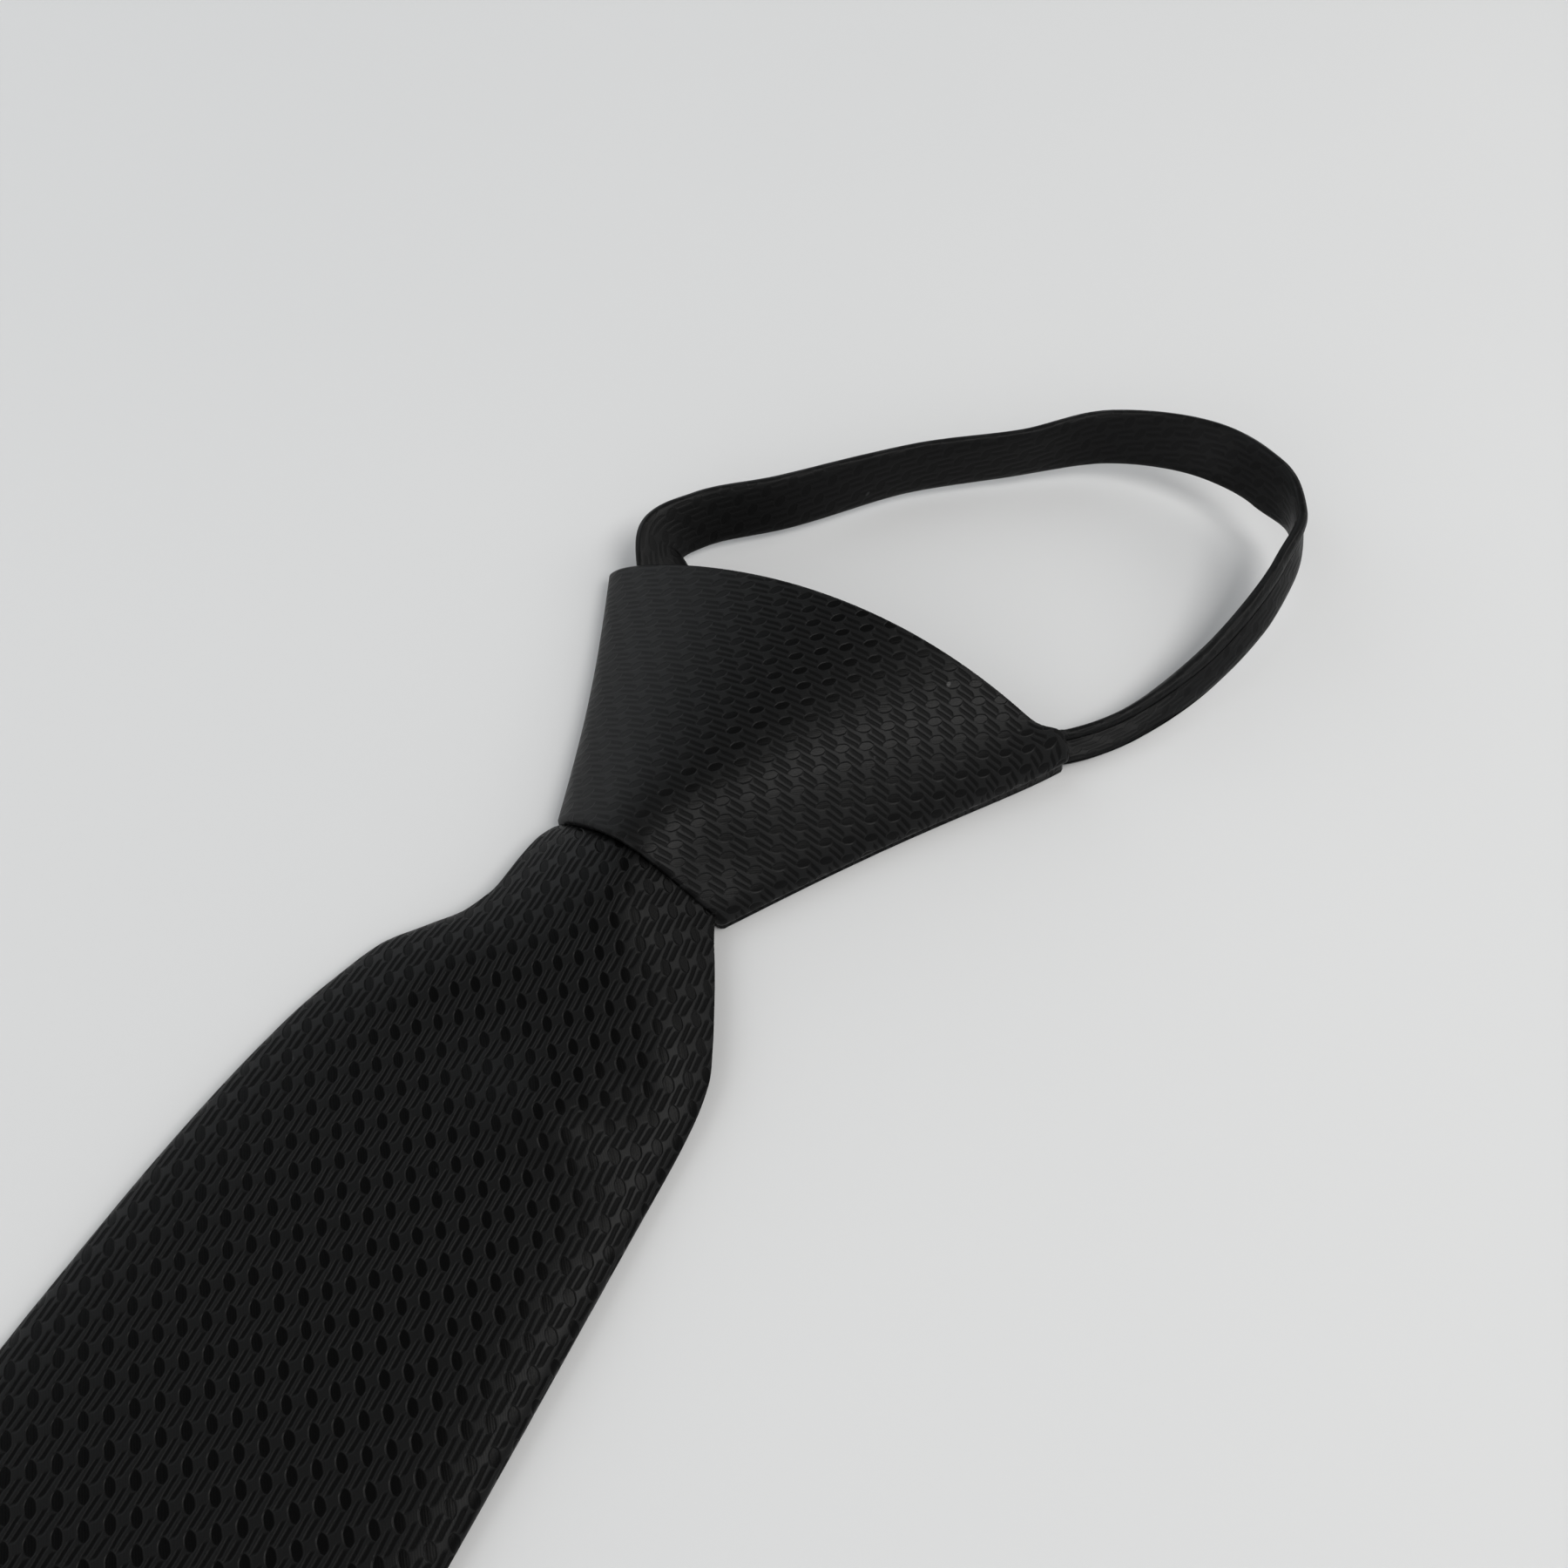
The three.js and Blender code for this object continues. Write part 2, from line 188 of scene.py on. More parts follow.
def folded_strip(outer: np.ndarray, inner: np.ndarray) -> tuple[np.ndarray, list[list[int]]]:
    """A cloth wall folded round lengthwise so that its long edges meet without joining.

    Args:
        outer: rows x columns x 3 points of the outer face, edge to edge.
        inner: the same points on the inner face.

    Returns:
        Points and faces of the closed wall.
    """
    rows, columns = outer.shape[:2]
    grid = np.concatenate([outer, inner[:, ::-1]], axis=1)
    around = columns * 2
    faces = []
    for r in range(rows - 1):
        for c in range(around):
            n = (c + 1) % around
            low = r * around
            faces.append([low + c, low + n, low + around + n, low + around + c])
    for c in range(columns - 1):
        mirror = around - 1 - c
        faces.append([c, mirror, mirror - 1, c + 1])
        low = (rows - 1) * around
        faces.append([low + c, low + c + 1, low + mirror - 1, low + mirror])
    return grid.reshape(-1, 3), faces


def both_faces(flat: np.ndarray) -> np.ndarray:
    """Places on the flat cloth for both faces of a wall, in folded_strip's order."""
    return np.concatenate([flat, flat[:, ::-1]], axis=1).reshape(-1, 2)


def ring_band(grid: np.ndarray) -> list[list[int]]:
    """Faces of a grid that closes both ways, as a sleeve's outside and inside together do.

    Args:
        grid: rows x columns x 3 points.

    Returns:
        The faces over its points, row by row.
    """
    rows, columns = grid.shape[:2]
    faces = []
    for r in range(rows):
        up = (r + 1) % rows
        for c in range(columns):
            n = (c + 1) % columns
            faces.append([r * columns + c, r * columns + n, up * columns + n, up * columns + c])
    return faces


def capped_tube(rings: np.ndarray) -> tuple[np.ndarray, list[list[int]]]:
    """A solid strip through rings of equal counts.

    Args:
        rings: rows x columns x 3 points.

    Returns:
        Points and faces, each end one flat face.
    """
    rows, columns = rings.shape[:2]
    faces = []
    for r in range(rows - 1):
        for c in range(columns):
            n = (c + 1) % columns
            low = r * columns
            faces.append([low + c, low + n, low + columns + n, low + columns + c])
    faces.append(list(range(columns))[::-1])
    faces.append([(rows - 1) * columns + c for c in range(columns)])
    return rings.reshape(-1, 3), faces


# Shader maths


class Value:
    """A number socket of a node tree that adds Math nodes as it is reckoned with."""

    def __init__(self, nodes: "Nodes", socket: bpy.types.NodeSocket) -> None:
        """Keeps the tree and the socket."""
        self.nodes = nodes
        self.socket = socket

    def __add__(self, other: Number) -> "Value":
        """self + other."""
        return self.nodes.math("ADD", self, other)

    __radd__ = __add__

    def __sub__(self, other: Number) -> "Value":
        """self - other."""
        return self.nodes.math("SUBTRACT", self, other)

    def __rsub__(self, other: Number) -> "Value":
        """other - self."""
        return self.nodes.math("SUBTRACT", other, self)

    def __mul__(self, other: Number) -> "Value":
        """self * other."""
        return self.nodes.math("MULTIPLY", self, other)

    __rmul__ = __mul__

    def __truediv__(self, other: Number) -> "Value":
        """self / other."""
        return self.nodes.math("DIVIDE", self, other)

    def __abs__(self) -> "Value":
        """The size of the number."""
        return self.nodes.math("ABSOLUTE", self)

    def __pow__(self, other: float) -> "Value":
        """self to the power other."""
        return self.nodes.math("POWER", self, other)


class Nodes:
    """A node tree, with the few ways in which its nodes are made."""

    def __init__(self, tree: bpy.types.NodeTree) -> None:
        """Keeps the tree."""
        self.tree = tree

    def node(
        self, kind: str, settings: Union[dict, None] = None, inputs: Union[dict, None] = None
    ) -> bpy.types.Node:
        """Adds a node.

        Args:
            kind: its type.
            settings: its own settings, set first.
            inputs: values, or Values and sockets to link, by socket name or number.

        Returns:
            The node.
        """
        made = self.tree.nodes.new(kind)
        for key, setting in (settings or {}).items():
            setattr(made, key, setting)
        for key, given in (inputs or {}).items():
            self.feed(made.inputs[key], given)
        return made

    def feed(self, socket: bpy.types.NodeSocket, given: object) -> None:
        """Links a Value or a socket to a socket, or sets its constant.

        Args:
            socket: the socket to feed.
            given: what it gets.
        """
        source = given.socket if isinstance(given, Value) else given
        if isinstance(source, bpy.types.NodeSocket):
            self.tree.links.new(source, socket)
        else:
            socket.default_value = source

    def math(self, operation: str, *terms: Number) -> Value:
        """A Math node on one to three terms."""
        made = self.node("ShaderNodeMath", {"operation": operation}, dict(enumerate(terms)))
        return Value(self, made.outputs[0])

    def step(self, x: Number, low: float, high: float) -> Value:
        """Smooth step, which falls where low is above high.

        Args:
            x: where to read it.
            low: where it leaves 0.
            high: where it reaches 1.

        Returns:
            0 to 1.
        """
        ends = {"From Min": min(low, high), "From Max": max(low, high)}
        if low > high:
            ends.update({"To Min": 1.0, "To Max": 0.0})
        smooth = {"interpolation_type": "SMOOTHSTEP"}
        made = self.node("ShaderNodeMapRange", smooth, {"Value": x, **ends})
        return Value(self, made.outputs["Result"])

    def wrapped(self, x: Value) -> Value:
        """The distance to the nearest whole number, with its sign."""
        return self.math("FRACT", x + 0.5) - 0.5

    def blend(self, share: Number, a: object, b: object) -> bpy.types.NodeSocket:
        """A colour between two others.

        Args:
            share: 0 for the first, 1 for the second.
            a: the first colour.
            b: the second colour.

        Returns:
            The colour's socket.
        """
        made = self.node("ShaderNodeMix", {"data_type": "RGBA"}, {"Factor": share, 6: a, 7: b})
        return made.outputs[2]

    def noise(self, place: bpy.types.NodeSocket, scale: float, detail: float = 2.0) -> Value:
        """Soft noise over a place.

        Args:
            place: the place's socket.
            scale: how fine it is.
            detail: how many finer layers it has.

        Returns:
            0 to 1.
        """
        made = self.node(
            "ShaderNodeTexNoise",
            {"noise_dimensions": "3D"},
            {"Vector": place, "Scale": scale, "Detail": detail, "Roughness": NOISE_ROUGHNESS},
        )
        return Value(self, made.outputs[0])

    def raised(self, height: Value, depth: float) -> bpy.types.NodeSocket:
        """A normal from a height in units of depth metres."""
        made = self.node("ShaderNodeBump", {}, {"Distance": depth, "Height": height})
        return made.outputs["Normal"]


class Paint(Nodes):
    """One material's node tree, with a Principled shader on its output."""

    def __init__(self, name: str) -> None:
        """Makes the material.

        Args:
            name: its name.
        """
        self.material = bpy.data.materials.new(name)
        self.material.use_nodes = True
        super().__init__(self.material.node_tree)
        self.tree.nodes.clear()
        self.shader = self.node("ShaderNodeBsdfPrincipled")
        self.node("ShaderNodeOutputMaterial", {}, {"Surface": self.shader.outputs["BSDF"]})

    def finish(self, **inputs: object) -> bpy.types.Material:
        """Feeds the shader.

        Args:
            inputs: what its sockets get, named with _ for a space.

        Returns:
            The material.
        """
        for key, given in inputs.items():
            self.feed(self.shader.inputs[key.replace("_", " ")], given)
        return self.material


def grey(level: float, warmth: float = 0.0) -> tuple[float, float, float, float]:
    """A grey that leans to blue where warmth is negative."""
    return (level * (1 + warmth), level, level * (1 - warmth), 1.0)


class Grain(Enum):
    """How the weave lies on a piece: the plan direction of its short repeat."""

    BLADE = (0.731, 0.682)
    KNOT = (-0.56, 0.83)
    BAND = (0.707, 0.707)


@dataclass(frozen=True)
class Weave:
    """Repeat of the jacquard: rows of eyes, and two slanted slits in each repeat."""

    eye_pitch: float = 3.6
    row_pitch: float = 4.82
    shear: float = 0.0
    tilt: float = 0.0

    def repeats(
        self,
        cloth: np.ndarray,
        grain: Grain,
        offset: tuple[float, float],
        shown: Union[np.ndarray, float] = 1.0,
    ) -> np.ndarray:
        """Place in the weave of points on the flat cloth.

        Args:
            cloth: points on the flat cloth in millimetres, ... x 2.
            grain: how the weave lies.
            offset: shift in repeats.
            shown: how much of the eyes and slits shows at each point, 0 to 1.

        Returns:
            Repeats along both threads and how much shows, ... x 3.
        """
        ax, ay = grain.value
        along = (cloth[..., 0] * ax + cloth[..., 1] * ay) / self.eye_pitch
        across = (cloth[..., 0] * ay - cloth[..., 1] * ax) / self.row_pitch
        pulled = along - self.shear * across
        rows = across + self.tilt * pulled + offset[1]
        return np.stack([pulled + offset[0], rows, np.broadcast_to(shown, rows.shape)], axis=-1)


@dataclass(frozen=True)
class Slit:
    """A slanted slit of the weave, in shares of a repeat, kept dark as painted shade of its recess.

    The two edges say where it fades out and where it is full, in shares of its half sizes.
    """

    along: float
    across: float
    half_width: float
    half_length: float
    slant: float
    side_edge: tuple[float, float] = (1.35, 0.5)
    end_edge: tuple[float, float] = (1.15, 0.7)


@dataclass(frozen=True)
class JacquardLook:
    """Black jacquard satin: raised ribbons that zigzag round sunk dark eyes.

    Each edge holds where a mask leaves 0 and where it reaches 1.
    """

    ribbon: float = 0.0022
    eye: float = 0.0075
    # The slits are kept dark everywhere as painted shade of their recess.
    slit: float = 0.007
    lint: float = 0.05
    fibre_gain: float = 1.7
    warmth: float = -0.02
    ribbon_rough: float = 0.4
    eye_rough: float = 0.32
    slit_rough: float = 0.5
    fibre_rough: float = 0.08
    relief: float = 0.00012
    thread_relief: float = 0.05
    eye_relief: float = 0.08
    sunk_metallic: float = 0.96
    specular: float = 0.165
    sheen: float = 0.002
    sheen_rough: float = 0.3
    eye_half_width: float = 0.24
    eye_half_length: float = 0.33
    eye_slant: float = 0.08
    eye_edge: tuple[float, float] = (1.22, 0.8)
    eye_dome: tuple[float, float] = (0.9, 0.0)
    slits: tuple[Slit, Slit] = (
        Slit(0.29, 0.4, 0.13, 0.31, 1.05), Slit(0.605, 0.55, 0.16, 0.27, 1.15)
    )
    threads: int = 9
    wobble: float = 0.16
    wobble_scale: float = 0.9
    fibre_scale: float = 14.0
    fibre_detail: float = 3.0
    fibre_edge: tuple[float, float] = (0.35, 0.75)
    fibre_share: float = 0.45
    lint_scale: float = 1.7
    lint_edge: tuple[float, float] = (0.86, 0.9)
    lint_share: float = 0.5
    clarity: float = 1.0

    def dress(self, name: str) -> bpy.types.Material:
        """Makes the cloth's material.

        Args:
            name: its name.

        Returns:
            The material, which reads the mesh's weave attribute.
        """
        paint = Paint(name)
        place = paint.node("ShaderNodeAttribute", {"attribute_name": "weave"}).outputs["Vector"]
        split = paint.node("ShaderNodeSeparateXYZ", {}, {0: place})
        wobble = paint.noise(place, self.wobble_scale) - 0.5
        along = Value(paint, split.outputs["X"]) + wobble * self.wobble
        across = Value(paint, split.outputs["Y"])
        shown = Value(paint, split.outputs["Z"]) * self.clarity
        leaf = self.leaf(paint, along, across)
        eyes = paint.step(leaf, *self.eye_edge) * shown
        cuts = paint.math(
            "MAXIMUM", *[self.slit_mask(paint, along, across, slit) for slit in self.slits]
        )
        cuts = cuts * shown
        sunk = paint.math("MAXIMUM", eyes, cuts)
        fibre = paint.noise(place, self.fibre_scale, self.fibre_detail)
        threads = paint.math("SINE", along * (2 * math.pi * self.threads)) * 0.5 + 0.5
        dome = eyes * self.eye_relief * paint.step(leaf, *self.eye_dome)
        height = (1 - sunk) + threads * self.thread_relief + dome
        rough = eyes * (self.eye_rough - self.ribbon_rough) + fibre * self.fibre_rough
        rough = rough + cuts * (self.slit_rough - self.ribbon_rough) + self.ribbon_rough
        return paint.finish(
            Base_Color=self.colour(paint, place, eyes, cuts, fibre),
            Roughness=rough,
            Metallic=sunk * self.sunk_metallic,
            Normal=paint.raised(height, self.relief),
            Specular_IOR_Level=self.specular,
            Sheen_Weight=self.sheen,
            Sheen_Roughness=self.sheen_rough,
        )

    def leaf(self, paint: Paint, along: Value, across: Value) -> Value:
        """How far out from the nearest eye's middle a point lies.

        Args:
            paint: the cloth's material.
            along: repeats along.
            across: repeats across.

        Returns:
            0 in the eye's middle and about 1 at its rim.
        """
        x = paint.wrapped(along)
        y = paint.wrapped(across)
        tips = (abs(y) / self.eye_half_length) ** 3
        return abs(x - y * self.eye_slant) / self.eye_half_width + tips

    def slit_mask(self, paint: Paint, along: Value, across: Value, slit: Slit) -> Value:
        """Where one of the slits lies.

        Args:
            paint: the cloth's material.
            along: repeats along.
            across: repeats across.
            slit: the slit.

        Returns:
            0 to 1.
        """
        length = paint.wrapped(across - slit.across)
        width = paint.wrapped(along - slit.along + length * slit.slant)
        sides = [slit.half_width * share for share in slit.side_edge]
        ends = [slit.half_length * share for share in slit.end_edge]
        return paint.step(abs(width), *sides) * paint.step(abs(length), *ends)

    def colour(
        self, paint: Paint, place: bpy.types.NodeSocket, eyes: Value, cuts: Value, fibre: Value
    ) -> bpy.types.NodeSocket:
        """Colour of the ribbons, eyes and slits, with pale fibres and specks of lint; the slits carry
        painted shade.

        Args:
            paint: the cloth's material.
            place: place in the weave.
            eyes: where the eyes lie.
            cuts: where the slits lie.
            fibre: the fibres' noise.

        Returns:
            The colour's socket.
        """
        # The slits' dark level is painted shade of their recess.
        level = paint.blend(cuts, grey(self.ribbon, self.warmth), grey(self.slit))
        level = paint.blend(eyes, level, grey(self.eye))
        hairs = paint.step(fibre, *self.fibre_edge) * self.fibre_share
        level = paint.blend(hairs, level, grey(self.ribbon * self.fibre_gain, self.warmth))
        specks = paint.step(paint.noise(place, self.lint_scale, 0.0), *self.lint_edge)
        return paint.blend(specks * self.lint_share, level, grey(self.lint))


@dataclass(frozen=True)
class TapeLook:
    """Black woven zip tape with fine cross ribs, darker in the grooves as painted shade and lighter
    on the ribs as a painted highlight.
    """

    level: float = 0.01
    groove_shade_gain: float = 0.5
    rib_highlight_gain: float = 1.6
    fibre_gain: float = 2.0
    fibre_share: float = 0.4
    fibre_scale: float = 900.0
    fibre_rough: float = 0.2
    rib_pitch: float = 0.0009
    rough: float = 0.6
    relief: float = 0.00012
    specular: float = 0.3
    sheen: float = 0.1

    def dress(self, name: str) -> bpy.types.Material:
        """Makes the tape's material.

        Args:
            name: its name.

        Returns:
            The material.
        """
        paint = Paint(name)
        place = paint.node("ShaderNodeTexCoord").outputs["Object"]
        split = paint.node("ShaderNodeSeparateXYZ", {}, {0: place})
        turns = 2 * math.pi / self.rib_pitch
        ribs = paint.math("SINE", Value(paint, split.outputs["Y"]) * turns)
        cords = paint.math("SINE", Value(paint, split.outputs["X"]) * turns)
        fibre = paint.noise(place, self.fibre_scale)
        # The tape's tone follows its ribs: painted shade in the grooves and a painted highlight on
        # the ribs.
        level = paint.blend(
            ribs * 0.5 + 0.5, grey(self.level * self.groove_shade_gain), grey(self.level * self.rib_highlight_gain)
        )
        hairs = grey(self.level * self.fibre_gain)
        return paint.finish(
            Base_Color=paint.blend(fibre * self.fibre_share, level, hairs),
            Roughness=fibre * self.fibre_rough + self.rough,
            Normal=paint.raised(ribs * 0.5 + cords * 0.25, self.relief),
            Specular_IOR_Level=self.specular,
            Sheen_Weight=self.sheen,
        )


@dataclass(frozen=True)
class CoilLook:
    """Black nylon of the coil, or painted metal of the slider."""

    level: float = 0.012
    rough: float = 0.32
    metallic: float = 0.0
    wear_scale: float = 700.0
    wear_edge: tuple[float, float] = (0.55, 0.8)
    worn_gain: float = 2.4
    worn_rough: float = 0.2
    relief: float = 0.00003

    def dress(self, name: str) -> bpy.types.Material:
        """Makes the hard part's material.

        Args:
            name: its name.

        Returns:
            The material.
        """
        paint = Paint(name)
        place = paint.node("ShaderNodeTexCoord").outputs["Object"]
        wear = paint.noise(place, self.wear_scale, 3.0)
        worn = paint.step(wear, *self.wear_edge)
        return paint.finish(
            Base_Color=paint.blend(worn, grey(self.level), grey(self.level * self.worn_gain)),
            Roughness=worn * self.worn_rough + self.rough,
            Metallic=self.metallic,
            Normal=paint.raised(wear, self.relief),
        )


@dataclass(frozen=True)
class TableLook:
    """Plain pale table top."""

    level: float = 0.7
    spread: float = 0.015
    warmth: float = -0.004
    cloud_scale: float = 6.0
    cloud_rough: float = 0.1
    rough: float = 0.55
    specular: float = 0.2

    def dress(self, name: str) -> bpy.types.Material:
        """Makes the table's material.

        Args:
            name: its name.

        Returns:
            The material.
        """
        paint = Paint(name)
        place = paint.node("ShaderNodeTexCoord").outputs["Object"]
        cloud = paint.noise(place, self.cloud_scale)
        dark = grey(self.level * (1 - self.spread), self.warmth)
        return paint.finish(
            Base_Color=paint.blend(cloud, dark, grey(self.level * (1 + self.spread))),
            Roughness=cloud * self.cloud_rough + self.rough,
            Specular_IOR_Level=self.specular,
        )


# The tie


@dataclass(frozen=True)
class SpreadRow:
    """One row of the blade's spread below the lip, in the shares that the CAD's table has."""

    down: float
    left: float
    right: float
    crown: float
    base: float
    flat: float


@dataclass(frozen=True)
class Puff:
    """A soft swelling or dip of a face: its middle, its two radii, its turn and its height."""

    x: float
    y: float
    across: float
    along: float
    turn: float
    height: float

    def at(self, x: np.ndarray, y: np.ndarray) -> np.ndarray:
        """Its height at points of the plan.

        Args:
            x: the points' x.
            y: the points' y.

        Returns:
            The heights.
        """
        turn = math.radians(self.turn)
        dx = (x - self.x) * math.cos(turn) + (y - self.y) * math.sin(turn)
        dy = (y - self.y) * math.cos(turn) - (x - self.x) * math.sin(turn)
        return self.height * np.exp(-((dx / self.across) ** 2) - (dy / self.along) ** 2)


class Piece:
    """What all pieces of the tie share: placing, dressing and riding."""

    def settle(
        self, made: bpy.types.Object, look: bpy.types.Material, node: str, slot: str
    ) -> bpy.types.Object:
        """Dresses a piece, lets it stand for its CAD node and ride on the tie.

        Args:
            made: the piece.
            look: its material.
            node: the CAD node.
            slot: not used.

        Returns:
            The piece.
        """
        made.data.materials.append(look)
        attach(made, "root")
        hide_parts(node)
        log.info("%s: %d faces", made.name, len(made.data.polygons))
        return made


@dataclass
class Zip(Piece):
    """Closed zip: two tapes, a coil and a slider, from inside the knot down behind the blade."""

    tie: TieFrame
    tail: float = 100.0
    drop: float = 24.0
    lip_shift: float = 3.8
    spread_run: float = 110.0
    tape_rows: int = 90
    tape_thickness: float = 1.2
    tape_play: float = 0.1
    tape_section: tuple[tuple[float, float], ...] = (
        (0.15, 0.0), (10.4, 0.0), (10.9, 0.2), (10.9, 0.8), (10.4, 1.0), (0.15, 1.0)
    )
    coil_half_width: float = 2.0
    coil_height: float = 2.4
    coil_margin: float = 1.0
    tooth_pitch: float = 1.3
    tooth_rows: int = 9
    tooth_sides: int = 6
    tooth_lean: float = 0.28
    tooth_radius: float = 0.42
    tooth_pinch: float = 0.22
    tooth_sink: float = 0.15
    slider_half_width: float = 4.6
    slider_height: float = 5.0
    slider_length: float = 9.0
    slider_foot: float = 13.6
    slider_sides: int = 20
    slider_narrow: float = 0.72
    slider_taper: float = 0.7
    slider_ends: float = 0.86
    slider_shares: tuple[float, ...] = (0.0, 0.06, 0.2, 0.5, 0.8, 0.94, 1.0)
    seat: float = 1.8

    def seam(self, down: float) -> float:
        """Where the zip's middle lies at a distance below the lip."""
        return self.lip_shift * (1 - ease(down, 0, self.spread_run))

    def seat_at(self, down: float) -> float:
        """Height of the zip's underside over the table."""
        return self.seat * (1 - ease(down, 0, self.drop))

    def build(self) -> list[bpy.types.Object]:
        """Builds and dresses the tapes, coil and slider.

        Returns:
            The pieces.
        """
        tape_look = TapeLook().dress("zip_tape")
        hard_look = CoilLook().dress("zip_coil")
        metal_look = CoilLook(0.03, 0.35, 1.0).dress("zip_slider")
        top = self.slider_foot + self.slider_length
        made = [
            self.settle(self.tape(sign, top, name), tape_look, "zip", "zip_tape")
            for sign, name in ((-1, "zip_tape_left"), (1, "zip_tape_right"))
        ]
        made.append(self.settle(self.coil(), hard_look, "zip", "zip_tape"))
        made.append(self.settle(self.slider(), metal_look, "zip", "zip_tape"))
        return made

    def tape(self, sign: int, top: float, name: str) -> bpy.types.Object:
        """One tape.

        Args:
            sign: -1 for the left tape, 1 for the right one.
            top: where it ends inside the knot.
            name: the piece's name.

        Returns:
            The tape.
        """
        thick = self.tape_thickness - 2 * self.tape_play
        rings = []
        for y in np.linspace(-self.tail, top, self.tape_rows):
            x = self.seam(-y)
            z = self.seat_at(-y) + self.tape_play
            ring = [[x + sign * across, y, z + up * thick] for across, up in self.tape_section]
            rings.append(ring if sign > 0 else ring[::-1])
        points, faces = capped_tube(np.array(rings))
        return make_mesh(name, self.tie.place(points), faces, crease=40)

    def coil(self) -> bpy.types.Object:
        """The closed coil: a row of rounded teeth over the tapes' inner edges.

        Returns:
            The coil.
        """
        points = []
        faces = []
        run = self.tail + self.slider_foot - 2 * self.coil_margin
        for i in range(int(run / self.tooth_pitch)):
            y = self.slider_foot - self.coil_margin - (i + 0.5) * self.tooth_pitch
            tooth, tooth_faces = capped_tube(self.tooth(y))
            base = len(points)
            points.extend(tooth.tolist())
            faces.extend([[base + c for c in face] for face in tooth_faces])
        return make_mesh("zip_coil", self.tie.place(np.array(points)), faces)

    def tooth(self, y: float) -> np.ndarray:
        """One tooth: an arch from the left tape's edge to the right one's.

        Args:
            y: its place along the zip.

        Returns:
            Rings of points, rows x columns x 3.
        """
        x = self.seam(-y)
        z = self.seat_at(-y) + self.tape_thickness - self.tooth_sink
        rise = self.coil_height - self.tape_thickness
        rings = []
        for angle in np.linspace(0, math.pi, self.tooth_rows):
            lean = self.tooth_lean * math.cos(angle) * self.tooth_pitch
            ring = []
            for k in range(self.tooth_sides):
                turn = 2 * math.pi * k / self.tooth_sides
                wide = 1 - self.tooth_pinch * (1 + math.cos(turn))
                ring.append([
                    x + self.coil_half_width * math.cos(angle) * wide,
                    y + lean + self.tooth_radius * self.tooth_pitch * math.sin(turn),
                    z + rise * math.sin(angle) * wide,
                ])
            rings.append(ring)
        return np.array(rings)

    def slider(self) -> bpy.types.Object:
        """The slider: a rounded block that narrows towards the closed coil.

        Returns:
            The slider.
        """
        rings = []
        for share in self.slider_shares:
            y = self.slider_foot + self.slider_length * share
            taper = mix(self.slider_narrow, 1.0, ease(share, 0, self.slider_taper))
            shrink = self.slider_ends if share in (0.0, 1.0) else 1.0
            ring = []
            for k in range(self.slider_sides):
                turn = 2 * math.pi * k / self.slider_sides
                across = math.copysign(abs(math.cos(turn)) ** 0.5, math.cos(turn))
                up = math.copysign(abs(math.sin(turn)) ** 0.5, math.sin(turn))
                ring.append([
                    self.seam(-y) + self.slider_half_width * taper * shrink * across,
                    y,
                    self.seat + self.slider_height * (0.5 + 0.5 * shrink * up),
                ])
            rings.append(ring[::-1])
        points, faces = capped_tube(np.array(rings))
        return make_mesh("zip_slider", self.tie.place(points), faces, crease=35)


@dataclass(frozen=True)
class BladeSize:
    """One section of the blade: its two sides, its face, its back and how flat it is, 0 to 1."""

    left: float
    right: float
    crown: float
    base: float
    flat: float

    @property
    def middle(self) -> float:
        """The section's middle."""
        return (self.right - self.left) / 2

    @property
    def half(self) -> float:
        """Half of its width."""
        return (self.right + self.left) / 2


